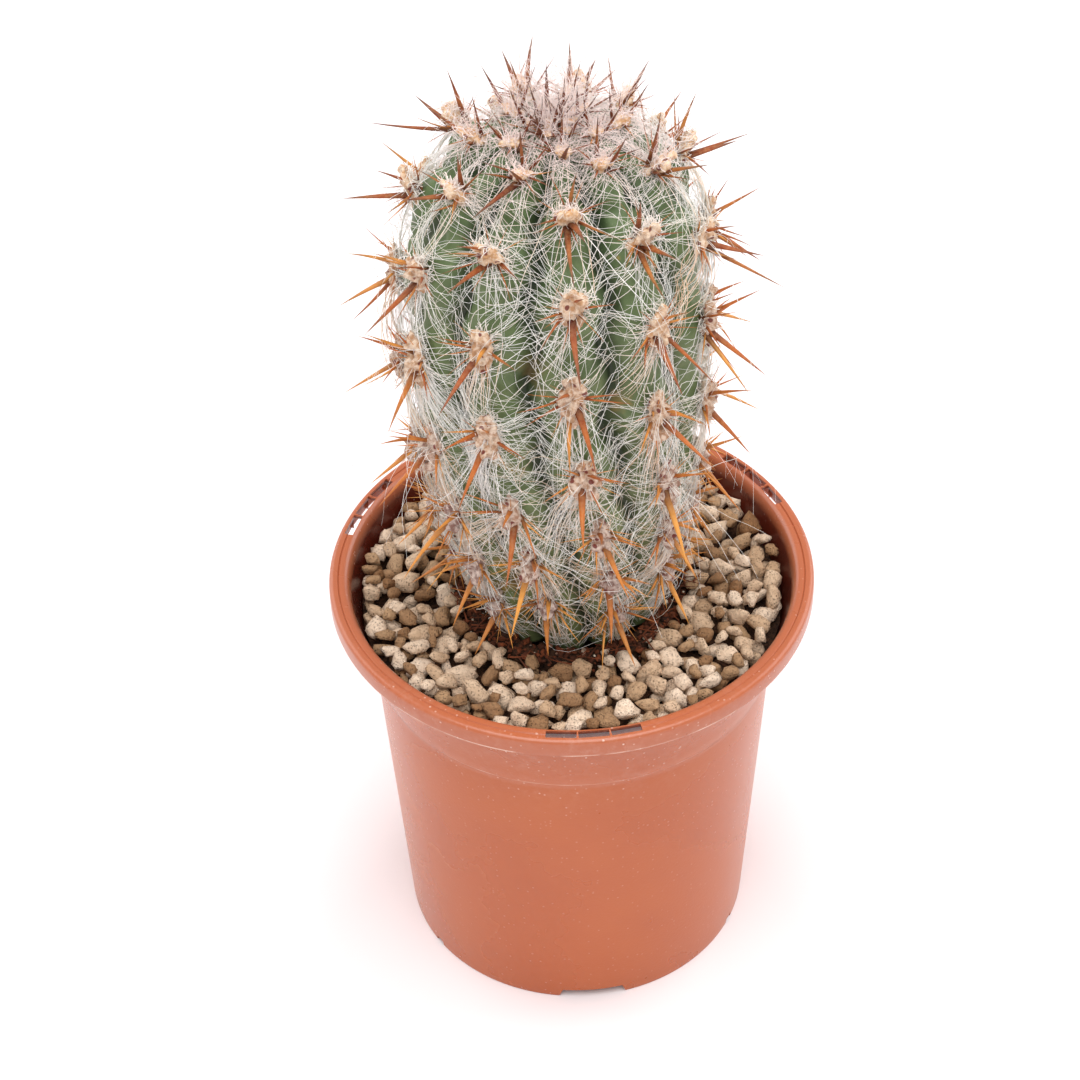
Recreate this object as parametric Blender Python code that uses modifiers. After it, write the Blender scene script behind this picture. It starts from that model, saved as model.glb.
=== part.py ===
# Old man of the andes, a ribbed and hairy cactus, in a plastic nursery pot with a pumice top dressing.
# Metres, +Z up. The origin is the centre of the pot's foot, and the side that faces -Y is the front.

import math
import random

import bmesh
import bpy
import numpy as np
from mathutils import Matrix, Vector

# Pot, a 17 cm container: radii are of the outer side
POT_HEIGHT = 0.158
RIM_RADIUS = 0.085
RIM_ROUND = 0.0017
EDGE_ROUND = 0.0005
LIP_DROP = 0.007
LIP_WALL = 0.0013
LEDGE_WALL = 0.0014
LEDGE_SLOPE = 0.0011
COLLAR_BASE = 0.1224
COLLAR_TOP_RADIUS = 0.0795
COLLAR_STEP = 0.0005
COLLAR_FLARE = 1.25
COLLAR_LEVELS = (0.1234, 0.136, 0.149)
SHOULDER_INSIDE = 0.1216
SHOULDER_RADIUS = 0.071
FOOT_RADIUS = 0.063
FOOT_WALL = 0.0019
POT_WALL = 0.0014
PLATE_UNDERSIDE = 0.0045
PLATE_TOP = 0.006
POT_STEPS = 48

# Rim slots, foot notches and drain holes: angles are from the front towards +X, in degrees
SLOT_FACING = 4.6
SLOT_COUNT = 3
SLOT_WINDOWS = 3
SLOT_INSET = 0.0002
WINDOW_ANGLE = 6.8
WINDOW_PITCH = 7.7
WINDOW_DEPTH = 0.0031
NOTCH_WIDTH = 0.0276
NOTCH_HEIGHT = 0.0039
NOTCH_SLOPE = 0.8
SMALL_NOTCH_WIDTH = 0.0048
SMALL_NOTCH_HEIGHT = 0.0022
DRAIN_COUNT = 6
DRAIN_RADIUS = 0.0045
DRAIN_CIRCLE = 0.044
DRAIN_SIDES = 10
CUT_EXTRA = 0.004

# Clear distance between touching pieces
GAP = 0.00035

# Growing mix: it fills the pot, and a low ring of it stands round the stem
MIX_LEVEL = 0.1434
MIX_COLLAR_LEVEL = 0.1492
MIX_COLLAR_RADIUS = 0.0386
MIX_COLLAR_SLOPE = 0.0003
MIX_MIDDLE = 0.133
MIX_STEPS = 32

# Pumice top dressing: a bed, and worn blocks whose lowest corner is sunk to the same depth in it
BED_LEVEL = 0.1462
STONE_FOOT = 0.1443
STONE_RINGS = 4
STONE_PITCH = 0.0090
STONE_SHIFT = 0.0010
STONE_WANDER = 0.15
STONE_HALF = (0.0042, 0.0054)
STONE_WIDTH = (0.72, 0.95)
STONE_THICKNESS = (0.78, 1.0)
STONE_CORNER = 0.78
STONE_WEAR = 0.28
STONE_TIP = 0.25
STONE_SEED = 11

# Stem: radii are of the rib crests
STEM_TOP = 0.343
DOME_BASE = 0.284
DOME_POWER = 2.5
BELLY_LEVEL = 0.264
STEM_RADIUS = 0.0495
SOIL_LEVEL = 0.150
SOIL_RADIUS = 0.0312
SOIL_CURVE = 1.85
ROOT_NECK = ((0.0292, 0.1440), (0.0150, 0.1265), (0.0085, 0.1040))
STEM_BOW = 0.0034
BOW_LENGTH = 0.235
OUTLINE_SAMPLES = 80
OUTLINE_REACH = 0.003

# Ribs: distances are down the stem from its crown, and the twist is in degrees for each metre
RIBS = 11
RIB_FACING = 5.4
RIB_DEPTH = 0.0088
RIB_ROUNDNESS = 2.2
CROWN_FADE = 0.034
OLD_RIB_START = 0.11
OLD_RIB_REACH = 0.09
OLD_RIB_LOSS = 0.45
NECK_FADE = 0.012
TWIST_START = 0.262
TWIST = 200.0
TUBERCLE_HEIGHT = 0.0026
TUBERCLE_CREST = 0.7
TUBERCLE_FADE = 0.03
CHIN = 0.08
COLUMNS_PER_RIB = 6
ROWS_ABOVE = 27
ROWS_BELOW = 4
LAST_ROW_ABOVE = 0.004

# Areoles: distances from the crown to the first one and on from each to the next down a rib
AREOLE_GAPS = (0.005, 0.017, 0.026, 0.031, 0.035, 0.033, 0.025, 0.022, 0.019)
AREOLE_SHIFT = 5 / RIBS
FIRST_AREOLE = 0.51
LOWEST_AREOLE = 0.206
HIGHEST_AREOLE = 0.003
PAD_HEIGHT = 0.0020

# Spines: lengths run from young to old, tilts are off the skin's normal, and turns are from down the rib
SPINE_SEED = 400
SPINE_ROOT = 0.0024
SPINE_START = 0.0027
SPINE_SIDES = 3
SPINE_AGING = 0.09
TILT_SPREAD = 13
MAIN_RADIUS = 0.00135
MAIN_LENGTHS = ((0.0, 0.040, 0.075, 0.115, 0.160, 0.200), (0.0125, 0.018, 0.022, 0.0255, 0.024, 0.018))
MAIN_SCATTER = (0.85, 1.12)
MAIN_TILTS = (16, 38)
MAIN_TURN_SPREAD = 30
UPPER_RADIUS = 0.0010
UPPER_LENGTHS = ((0.0, 0.030, 0.080, 0.200), (0.0105, 0.016, 0.018, 0.012))
UPPER_SCATTER = (0.8, 1.15)
UPPER_TILTS = (20, 30)
UPPER_TURN_SPREAD = 50
RADIAL_RADIUS = 0.00062
RADIAL_LENGTHS = (0.0085, 0.0125)
RADIAL_SCATTER = (0.8, 1.25)
RADIAL_TILTS = (52, 76)
RADIAL_TURNS = (90.0, 270.0)
RADIAL_TURN_SPREAD = 20
TIP_CLEARANCE = 0.1562
BEND_STEP = 0.08


def clear_scene():
    for obj in list(bpy.data.objects):
        bpy.data.objects.remove(obj, do_unlink=True)


def new_collection(name):
    collection = bpy.data.collections.new(name)
    bpy.context.scene.collection.children.link(collection)
    return collection


def new_material(name, colour, roughness):
    material = bpy.data.materials.new(name)
    material.use_nodes = True
    shader = material.node_tree.nodes["Principled BSDF"]
    shader.inputs["Base Color"].default_value = (*colour, 1.0)
    shader.inputs["Roughness"].default_value = roughness
    shader.inputs["Metallic"].default_value = 0.0
    return material


def object_from(shape, name, collection, material=None):
    mesh = bpy.data.meshes.new(name)
    shape.to_mesh(mesh)
    shape.free()
    obj = bpy.data.objects.new(name, mesh)
    collection.objects.link(obj)
    if material:
        mesh.materials.append(material)
    return obj


def turned(name, profile, steps, collection, material, closed=False):
    # The profile is a list of (radius, height), running down the outer side.
    shape = bmesh.new()
    points = [shape.verts.new((radius, 0.0, height)) for radius, height in profile]
    for first, second in zip(points, points[1:]):
        shape.edges.new((first, second))
    if closed:
        shape.edges.new((points[-1], points[0]))
    obj = object_from(shape, name, collection, material)
    screw = obj.modifiers.new("Turn", "SCREW")
    screw.axis = "Z"
    screw.steps = steps
    screw.render_steps = steps
    screw.use_merge_vertices = True
    screw.merge_threshold = 0.00001
    screw.use_smooth_shade = True
    return obj


def hide_cutter(obj):
    obj.hide_render = True
    obj.display_type = "WIRE"


def cut(obj, collection):
    boolean = obj.modifiers.new("Cuts", "BOOLEAN")
    boolean.operation = "DIFFERENCE"
    boolean.operand_type = "COLLECTION"
    boolean.collection = collection
    boolean.solver = "EXACT"


def front_angle(degrees):
    # Turns something that faces -Y by this angle towards +X.
    return Matrix.Rotation(math.radians(degrees), 4, "Z")


def between(limits, share):
    return limits[0] + (limits[1] - limits[0]) * share


def fade(value):
    value = min(1.0, max(0.0, value))
    return value * value * (3 - 2 * value)


# Joining a node's repeats


def keep_main_body(mesh):
    # Fills any hollow that the joining sealed, and drops any loose scrap.
    shape = bmesh.new()
    shape.from_mesh(mesh)
    waiting = set(shape.faces)
    bodies = []
    while waiting:
        body = [waiting.pop()]
        reached = list(body)
        while reached:
            joined = [edge for edge in reached.pop().edges if len(edge.link_faces) == 2]
            for other in {near for edge in joined for near in edge.link_faces} & waiting:
                waiting.discard(other)
                reached.append(other)
                body.append(other)
        bodies.append(body)
    bodies.sort(key=len)
    for body in bodies[:-1]:
        bmesh.ops.delete(shape, geom=body, context="FACES")
    shape.to_mesh(mesh)
    shape.free()


def fuse(obj, repeats):
    # Joins a collection of small pieces to what they stand on, and removes them.
    union = obj.modifiers.new("Fuse", "BOOLEAN")
    union.operation = "UNION"
    union.operand_type = "COLLECTION"
    union.collection = repeats
    union.solver = "EXACT"
    graph = bpy.context.evaluated_depsgraph_get()
    fused = bpy.data.meshes.new_from_object(obj.evaluated_get(graph), depsgraph=graph)
    obj.modifiers.clear()
    obj.data = fused
    keep_main_body(fused)
    for piece in list(repeats.objects):
        bpy.data.objects.remove(piece, do_unlink=True)
    bpy.data.collections.remove(repeats)


# Pot


def wall_radius(height):
    return between((FOOT_RADIUS, SHOULDER_RADIUS), height / COLLAR_BASE)


def collar_radius(height):
    rise = max(0.0, height - COLLAR_BASE) / (POT_HEIGHT - LEDGE_WALL - COLLAR_BASE)
    return between((SHOULDER_RADIUS + COLLAR_STEP, COLLAR_TOP_RADIUS), rise**COLLAR_FLARE)


def inner_radius(height):
    if height < COLLAR_BASE:
        return wall_radius(height) - POT_WALL
    return collar_radius(height) - POT_WALL


def pot_profile():
    ledge_under = POT_HEIGHT - LEDGE_WALL
    ledge_inside = POT_HEIGHT - LEDGE_SLOPE
    lip_base = POT_HEIGHT - LIP_DROP
    lip_inner = RIM_RADIUS - LIP_WALL
    foot_inner = FOOT_RADIUS - FOOT_WALL
    inside_levels = (PLATE_TOP, SHOULDER_INSIDE, *COLLAR_LEVELS, ledge_inside)
    inside = [(inner_radius(height), height) for height in inside_levels]
    collar = [(collar_radius(height), height) for height in reversed(COLLAR_LEVELS)]
    rim = [
        (COLLAR_TOP_RADIUS - EDGE_ROUND, POT_HEIGHT),
        (RIM_RADIUS - RIM_ROUND, POT_HEIGHT),
        (RIM_RADIUS - EDGE_ROUND, POT_HEIGHT - EDGE_ROUND),
        (RIM_RADIUS, POT_HEIGHT - RIM_ROUND),
        (RIM_RADIUS, lip_base + EDGE_ROUND),
        (RIM_RADIUS - EDGE_ROUND, lip_base),
        (lip_inner, lip_base),
        (lip_inner, ledge_under),
        (COLLAR_TOP_RADIUS, ledge_under),
    ]
    foot = [
        (SHOULDER_RADIUS, COLLAR_BASE),
        (wall_radius(EDGE_ROUND), EDGE_ROUND),
        (FOOT_RADIUS - EDGE_ROUND, 0.0),
        (foot_inner, 0.0),
        (foot_inner, PLATE_UNDERSIDE),
    ]
    return [(0.0, PLATE_TOP), *inside, *rim, *collar, *foot, (0.0, PLATE_UNDERSIDE)]


def box_cutter(name, size, place, turn, collection, taper=1.0):
    # The box faces -Y at its place before it is turned, and its top is narrowed by the taper.
    shape = bmesh.new()
    bmesh.ops.create_cube(shape, size=1.0)
    for vertex in shape.verts:
        if vertex.co.z > 0:
            vertex.co.x *= taper
    bmesh.ops.transform(shape, matrix=Matrix.Diagonal((*size, 1.0)), verts=shape.verts)
    bmesh.ops.transform(shape, matrix=front_angle(turn) @ Matrix.Translation(place), verts=shape.verts)
    hide_cutter(object_from(shape, name, collection))


def add_rim_slots(collection):
    slot_radius = COLLAR_TOP_RADIUS + SLOT_INSET + WINDOW_DEPTH / 2
    width = 2 * slot_radius * math.tan(math.radians(WINDOW_ANGLE) / 2)
    size = (width, WINDOW_DEPTH, LEDGE_WALL + CUT_EXTRA)
    place = (0.0, -slot_radius, POT_HEIGHT - LEDGE_WALL / 2)
    for slot in range(SLOT_COUNT):
        for window in range(SLOT_WINDOWS):
            offset = window - (SLOT_WINDOWS - 1) / 2
            turn = SLOT_FACING + slot * 360 / SLOT_COUNT + offset * WINDOW_PITCH
            box_cutter(f"rim_slot_{slot}_{window}", size, place, turn, collection)


def add_foot_notches(collection):
    for index in range(2 * SLOT_COUNT):
        turn = SLOT_FACING + index * 180 / SLOT_COUNT
        wide = index % 2 == 0
        width = NOTCH_WIDTH if wide else SMALL_NOTCH_WIDTH
        height = NOTCH_HEIGHT if wide else SMALL_NOTCH_HEIGHT
        size = (width, 4 * FOOT_WALL, height + CUT_EXTRA)
        place = (0.0, -FOOT_RADIUS + FOOT_WALL / 2, (height - CUT_EXTRA) / 2)
        box_cutter(f"foot_notch_{index}", size, place, turn, collection, NOTCH_SLOPE)


def add_drain_holes(collection):
    thickness = PLATE_TOP - PLATE_UNDERSIDE
    for index in range(DRAIN_COUNT):
        shape = bmesh.new()
        bmesh.ops.create_cone(
            shape,
            cap_ends=True,
            segments=DRAIN_SIDES,
            radius1=DRAIN_RADIUS,
            radius2=DRAIN_RADIUS,
            depth=thickness + CUT_EXTRA,
        )
        place = Matrix.Translation((0.0, -DRAIN_CIRCLE, PLATE_UNDERSIDE + thickness / 2))
        turn = front_angle(SLOT_FACING + (index + 0.5) * 360 / DRAIN_COUNT)
        bmesh.ops.transform(shape, matrix=turn @ place, verts=shape.verts)
        hide_cutter(object_from(shape, f"drain_hole_{index}", collection))


def make_pot(parts, cutters):
    plastic = new_material("terracotta plastic", (0.62, 0.20, 0.085), 0.42)
    pot = turned("pot", pot_profile(), POT_STEPS, parts, plastic)
    add_rim_slots(cutters)
    add_foot_notches(cutters)
    add_drain_holes(cutters)
    cut(pot, cutters)


# Growing mix


def mix_profile():
    # From the foot of the root's hole, up the hole, over the surface and down the pot's wall
    hole = [(radius + 2 * GAP, height) for radius, height in reversed(ROOT_NECK)]
    hole_floor = hole[0][1] - 2 * GAP
    collar = [
        (SOIL_RADIUS + 3 * GAP, MIX_COLLAR_LEVEL),
        (MIX_COLLAR_RADIUS, MIX_COLLAR_LEVEL),
        (MIX_COLLAR_RADIUS + MIX_COLLAR_SLOPE, MIX_LEVEL),
    ]
    wall_levels = (MIX_LEVEL, MIX_MIDDLE, COLLAR_LEVELS[0], SHOULDER_INSIDE, PLATE_TOP + GAP)
    wall = [(inner_radius(height) - GAP, height) for height in wall_levels]
    return [
        (0.0, hole_floor),
        (hole[0][0], hole_floor),
        *hole[1:],
        *collar,
        *wall,
        (0.0, PLATE_TOP + GAP),
    ]


def make_mix(parts):
    earth = new_material("growing mix", (0.06, 0.035, 0.022), 0.95)
    turned("substrate", mix_profile(), MIX_STEPS, parts, earth)


# Pumice


def bed_profile():
    inner = MIX_COLLAR_RADIUS + MIX_COLLAR_SLOPE + GAP
    low = MIX_LEVEL + GAP
    return [
        (inner, low),
        (inner, BED_LEVEL),
        (inner_radius(BED_LEVEL) - GAP, BED_LEVEL),
        (inner_radius(low) - GAP, low),
    ]


def stone_places():
    # Each stone is (radius, angle, half length, turn): rings of them, close together and out of line.
    draw = random.Random(STONE_SEED)
    inner = MIX_COLLAR_RADIUS + 3 * GAP + STONE_HALF[1]
    outer = inner_radius(BED_LEVEL) - 3 * GAP - STONE_HALF[1]
    stones = []
    for ring in np.linspace(inner, outer, STONE_RINGS):
        count = round(2 * math.pi * ring / STONE_PITCH)
        start = draw.random()
        for index in range(count):
            half = draw.uniform(*STONE_HALF)
            shift = STONE_SHIFT if inner < ring < outer else STONE_HALF[1] - half
            radius = ring + draw.uniform(-1, 1) * shift
            angle = 2 * math.pi * (index + start + draw.uniform(-1, 1) * STONE_WANDER) / count
            stones.append((radius, angle, half, draw.uniform(0, 2 * math.pi)))
    return stones


def stone_shape(half, draw):
    # A worn block: every corner is pulled in by its own amount.
    shape = bmesh.new()
    bmesh.ops.create_cube(shape, size=2.0)
    for vertex in shape.verts:
        vertex.co *= STONE_CORNER * (1.0 - STONE_WEAR * draw.random())
    size = (half, half * draw.uniform(*STONE_WIDTH), half * draw.uniform(*STONE_THICKNESS))
    tips = [Matrix.Rotation(draw.uniform(-1, 1) * STONE_TIP, 4, axis) for axis in "XY"]
    bmesh.ops.transform(shape, matrix=tips[0] @ tips[1] @ Matrix.Diagonal((*size, 1.0)), verts=shape.verts)
    return shape


def make_gravel(parts):
    pumice = new_material("pumice", (0.55, 0.45, 0.33), 0.9)
    gravel = turned("gravel", bed_profile(), POT_STEPS, parts, pumice, closed=True)
    repeats = new_collection("stones")
    draw = random.Random(STONE_SEED + 1)
    for index, (radius, angle, half, turn) in enumerate(stone_places()):
        shape = stone_shape(half, draw)
        lift = STONE_FOOT - min(vertex.co.z for vertex in shape.verts)
        place = Matrix.Translation((radius * math.cos(angle), radius * math.sin(angle), lift))
        bmesh.ops.transform(shape, matrix=place @ Matrix.Rotation(turn, 4, "Z"), verts=shape.verts)
        object_from(shape, f"stone_{index}", repeats)
    fuse(gravel, repeats)


# Stem


def crest_radius(height):
    if height > DOME_BASE:
        rise = min(1.0, (height - DOME_BASE) / (STEM_TOP - DOME_BASE))
        return STEM_RADIUS * (1 - rise**DOME_POWER) ** (1 / DOME_POWER)
    drop = max(0.0, BELLY_LEVEL - height) / (BELLY_LEVEL - SOIL_LEVEL)
    return between((STEM_RADIUS, SOIL_RADIUS), drop**SOIL_CURVE)


def stem_outline():
    # Distances down the stem from the crown, with the radius and the height at each
    rises = np.sin(np.linspace(math.pi / 2, 0, OUTLINE_SAMPLES)) ** (2 / DOME_POWER)
    heights = list(DOME_BASE + (STEM_TOP - DOME_BASE) * rises)
    heights += list(np.linspace(DOME_BASE, SOIL_LEVEL, OUTLINE_SAMPLES)[1:])
    radii = [crest_radius(height) for height in heights]
    radii += [radius for radius, _ in ROOT_NECK]
    heights += [height for _, height in ROOT_NECK]
    steps = np.hypot(np.diff(radii), np.diff(heights))
    return np.concatenate([[0.0], np.cumsum(steps)]), np.array(radii), np.array(heights)


OUTLINE = stem_outline()
SOIL_DISTANCE = float(np.interp(-SOIL_LEVEL, -OUTLINE[2], OUTLINE[0]))


def outline_at(distance):
    return tuple(float(np.interp(distance, OUTLINE[0], values)) for values in OUTLINE[1:])


def outline_frame(distance):
    # (radius, height) of the outline there, and its outward normal and its downward direction
    radius, height = outline_at(distance)
    upper = outline_at(max(0.0, distance - OUTLINE_REACH))
    lower = outline_at(distance + OUTLINE_REACH)
    down = Vector((lower[0] - upper[0], lower[1] - upper[1])).normalized()
    if distance < OUTLINE_REACH:
        down = Vector((1.0, 0.0))
    return radius, height, Vector((-down.y, down.x)), down


def areoles_passed(distance):
    return float(np.interp(distance, np.cumsum(AREOLE_GAPS), range(len(AREOLE_GAPS))))


def areole_distance(passed):
    marks = np.concatenate([[0.0], np.cumsum(AREOLE_GAPS)])
    return float(np.interp(passed, range(-1, len(AREOLE_GAPS)), marks))


def rib_phase(rib):
    return (FIRST_AREOLE + rib * AREOLE_SHIFT) % 1.0


def surface_angle(turn, height):
    twist = TWIST * max(0.0, TWIST_START - max(height, SOIL_LEVEL))
    return math.radians(RIB_FACING + turn * 360 / RIBS + twist)


def rib_depth(distance):
    loss = OLD_RIB_LOSS * fade((distance - OLD_RIB_START) / OLD_RIB_REACH)
    buried = fade((distance - SOIL_DISTANCE) / NECK_FADE)
    return RIB_DEPTH * fade(distance / CROWN_FADE) * (1 - loss) * (1 - buried)


def tubercle_dip(distance, rib, across):
    # The skin sinks between one areole and the next, most of all on the rib's crest.
    beat = math.cos(2 * math.pi * (areoles_passed(distance) - rib_phase(rib) - CHIN))
    ends = fade(distance / TUBERCLE_FADE) * fade((SOIL_DISTANCE - distance) / NECK_FADE)
    return TUBERCLE_HEIGHT * (1 - beat) / 2 * (1 - across) ** TUBERCLE_CREST * ends


def stem_place(distance, turn, lift=0.0):
    # Where the skin is: whole numbers of turn are rib crests, and halves are the grooves between them.
    radius, height, normal, _ = outline_frame(distance)
    rib = round(turn)
    across = 2 * abs(turn - rib)
    groove = rib_depth(distance) * across**RIB_ROUNDNESS
    offset = lift - groove - tubercle_dip(distance, rib % RIBS, across)
    radius += normal.x * offset
    height += normal.y * offset
    angle = surface_angle(turn, height)
    bow = -STEM_BOW * math.sin(math.pi * max(0.0, height - SOIL_LEVEL) / BOW_LENGTH)
    return Vector((bow + radius * math.sin(angle), -radius * math.cos(angle), height))


def areole_spots():
    # Each is (distance, rib, place on the crest, outward, downward and sideways directions).
    spots = []
    for rib in range(RIBS):
        for step in range(-1, len(AREOLE_GAPS)):
            distance = areole_distance(step + rib_phase(rib))
            if HIGHEST_AREOLE < distance < LOWEST_AREOLE:
                _, height, normal, down = outline_frame(distance)
                angle = surface_angle(rib, height)
                out = Vector((math.sin(angle), -math.cos(angle), 0.0))
                outward = out * normal.x + Vector((0.0, 0.0, normal.y))
                downward = out * down.x + Vector((0.0, 0.0, down.y))
                place = stem_place(distance, rib, PAD_HEIGHT)
                spots.append((distance, rib, place, outward, downward, outward.cross(downward)))
    return spots


def row_distances():
    above = np.linspace(0.0, SOIL_DISTANCE + LAST_ROW_ABOVE, ROWS_ABOVE + 1)
    below = np.linspace(above[-1], OUTLINE[0][-1], ROWS_BELOW + 1)
    return list(above) + list(below[1:])


def stem_shape(spots):
    # A sphere's rows and columns, set out along the stem's outline and round its ribs.
    # The crest point nearest to each areole moves to it and is raised as its woolly pad.
    columns = RIBS * COLUMNS_PER_RIB
    distances = row_distances()
    rows = len(distances) - 1
    points = {}
    shape = bmesh.new()
    bmesh.ops.create_uvsphere(shape, u_segments=columns, v_segments=rows, radius=1.0)
    for vertex in shape.verts:
        row = round(math.acos(max(-1.0, min(1.0, vertex.co.z))) / math.pi * rows)
        if row == 0:
            vertex.co = (0.0, 0.0, STEM_TOP)
            continue
        if row == rows:
            vertex.co = (0.0, 0.0, ROOT_NECK[-1][1])
            continue
        column = round(math.atan2(vertex.co.x, -vertex.co.y) / (2 * math.pi) * columns)
        vertex.co = stem_place(distances[row], column / COLUMNS_PER_RIB)
        points[row, column % columns] = vertex
    for distance, rib, place, *_ in spots:
        nearest = min(range(1, rows), key=lambda row: abs(distances[row] - distance))
        points[nearest, rib * COLUMNS_PER_RIB % columns].co = place
    return shape


# Spines


def spines_wanted(distance, draw):
    # Each is (tilt, turn, length, radius): the long one, the upper one and then the radials.
    age = fade(distance / SPINE_AGING)
    main_length = float(np.interp(distance, *MAIN_LENGTHS)) * draw.uniform(*MAIN_SCATTER)
    upper_length = float(np.interp(distance, *UPPER_LENGTHS)) * draw.uniform(*UPPER_SCATTER)
    wanted = []
    main_tilt = between(MAIN_TILTS, age) + draw.uniform(-1, 1) * TILT_SPREAD
    wanted.append((main_tilt, draw.uniform(-1, 1) * MAIN_TURN_SPREAD, main_length, MAIN_RADIUS))
    upper_tilt = between(UPPER_TILTS, age) + draw.uniform(-1, 1) * TILT_SPREAD
    wanted.append((upper_tilt, 180 + draw.uniform(-1, 1) * UPPER_TURN_SPREAD, upper_length, UPPER_RADIUS))
    for turn in RADIAL_TURNS:
        length = between(RADIAL_LENGTHS, age) * draw.uniform(*RADIAL_SCATTER)
        tilt = draw.uniform(*RADIAL_TILTS)
        wanted.append((tilt, turn + draw.uniform(-1, 1) * RADIAL_TURN_SPREAD, length, RADIAL_RADIUS))
    return wanted


def spines_of(spot, draw):
    # Each spine is (root, tip, base radius), and one that would reach the pumice is bent up clear of it.
    distance, _, place, outward, downward, sideways = spot
    spines = []
    for tilt, turn, length, radius in spines_wanted(distance, draw):
        side = downward * math.cos(math.radians(turn)) + sideways * math.sin(math.radians(turn))
        direction = outward * math.cos(math.radians(tilt)) + side * math.sin(math.radians(tilt))
        start = place + side * SPINE_START
        while (start + direction * length).z < TIP_CLEARANCE:
            direction = (direction + Vector((0.0, 0.0, BEND_STEP))).normalized()
        spines.append((start - direction * SPINE_ROOT, start + direction * length, radius))
    return spines


def add_spine(name, root, tip, radius, repeats):
    shape = bmesh.new()
    bmesh.ops.create_cone(
        shape, cap_ends=True, segments=SPINE_SIDES, radius1=radius, radius2=0.0, depth=(tip - root).length
    )
    turn = (tip - root).to_track_quat("Z", "Y").to_matrix().to_4x4()
    bmesh.ops.transform(shape, matrix=Matrix.Translation((root + tip) / 2) @ turn, verts=shape.verts)
    object_from(shape, name, repeats)


def make_cactus(parts):
    skin = new_material("cactus skin", (0.14, 0.22, 0.10), 0.6)
    spots = areole_spots()
    cactus = object_from(stem_shape(spots), "cactus", parts, skin)
    repeats = new_collection("spines")
    for index, spot in enumerate(spots):
        draw = random.Random(SPINE_SEED + index)
        for number, (root, tip, radius) in enumerate(spines_of(spot, draw)):
            add_spine(f"spine_{index}_{number}", root, tip, radius, repeats)
    fuse(cactus, repeats)


def main():
    clear_scene()
    parts = new_collection("potted_old_man_of_the_andes")
    cutters = new_collection("cutters")
    make_pot(parts, cutters)
    make_mix(parts)
    make_gravel(parts)
    make_cactus(parts)
    cutters.hide_render = True


main()
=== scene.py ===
import math
import random

import bpy
import numpy as np
from mathutils import Matrix, Vector


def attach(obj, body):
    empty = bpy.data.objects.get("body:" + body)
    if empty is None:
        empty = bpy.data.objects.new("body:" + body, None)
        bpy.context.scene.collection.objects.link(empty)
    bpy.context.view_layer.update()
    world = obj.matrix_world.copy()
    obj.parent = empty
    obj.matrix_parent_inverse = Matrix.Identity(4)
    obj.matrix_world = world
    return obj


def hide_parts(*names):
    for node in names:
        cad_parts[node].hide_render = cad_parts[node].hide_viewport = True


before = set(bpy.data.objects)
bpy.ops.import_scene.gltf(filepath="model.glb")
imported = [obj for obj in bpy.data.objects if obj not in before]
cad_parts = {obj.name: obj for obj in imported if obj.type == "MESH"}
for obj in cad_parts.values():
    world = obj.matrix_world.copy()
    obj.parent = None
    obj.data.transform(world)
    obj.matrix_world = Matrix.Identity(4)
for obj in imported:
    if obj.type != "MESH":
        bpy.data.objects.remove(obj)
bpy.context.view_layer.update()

# Potted old man of the andes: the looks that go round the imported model.
# Metres, +Z up, and the front faces -Y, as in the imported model.


# Small helpers for node trees and meshes

def addNode(tree, kind, inputs=None, **settings):
    # Each input is a socket to link or a value to set
    fresh = tree.nodes.new(kind)
    for name, value in settings.items():
        setattr(fresh, name, value)
    for name, value in (inputs or {}).items():
        if isinstance(value, bpy.types.NodeSocket):
            tree.links.new(value, fresh.inputs[name])
        else:
            fresh.inputs[name].default_value = value
    return fresh


def mathNode(tree, operation, first, second=0.0, clamp=False):
    return addNode(tree, "ShaderNodeMath", {0: first, 1: second}, operation=operation, use_clamp=clamp).outputs[0]


def times(tree, first, *others):
    for other in others:
        first = mathNode(tree, "MULTIPLY", first, other)
    return first


def vectorMath(tree, operation, first, second=None, scale=None):
    given = {slot: value for slot, value in ((0, first), (1, second), ("Scale", scale)) if value is not None}
    node = addNode(tree, "ShaderNodeVectorMath", given, operation=operation)
    return node.outputs["Value" if operation in ("DOT_PRODUCT", "LENGTH") else "Vector"]


def newTree(name, kind, inputs, outputs):
    # A node group: each socket has a usual number, or the word for its kind
    group = bpy.data.node_groups.new(name, kind)
    for direction, sockets in (("INPUT", inputs), ("OUTPUT", outputs)):
        for label, value in sockets.items():
            word = value if isinstance(value, str) else {int: "Int", float: "Float"}[type(value)]
            socket = group.interface.new_socket(name=label, in_out=direction, socket_type="NodeSocket" + word)
            if not isinstance(value, str):
                socket.default_value = value
    return group, group.nodes.new("NodeGroupInput").outputs


def geometryTree(name, inputs):
    sockets = {"Geometry": "Geometry", **inputs, "Material": "Material"}
    return newTree(name, "GeometryNodeTree", sockets, {"Geometry": "Geometry"})


def closeTree(tree, geometry, material):
    # Every tree ends alike: smooth faces, real geometry, one material
    smooth = addNode(tree, "GeometryNodeSetShadeSmooth", {"Geometry": geometry})
    real = addNode(tree, "GeometryNodeRealizeInstances", {"Geometry": smooth.outputs[0]})
    painted = addNode(tree, "GeometryNodeSetMaterial", {"Geometry": real.outputs[0], "Material": material})
    addNode(tree, "NodeGroupOutput", {0: painted.outputs[0]})
    return tree


def readNumber(tree, name):
    return addNode(tree, "GeometryNodeInputNamedAttribute", {"Name": name}, data_type="FLOAT").outputs[0]


def readVector(tree, name):
    return addNode(tree, "GeometryNodeInputNamedAttribute", {"Name": name}, data_type="FLOAT_VECTOR").outputs[0]


def readTurn(tree, name):
    return addNode(tree, "FunctionNodeEulerToRotation", {"Euler": readVector(tree, name)}).outputs[0]


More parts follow.
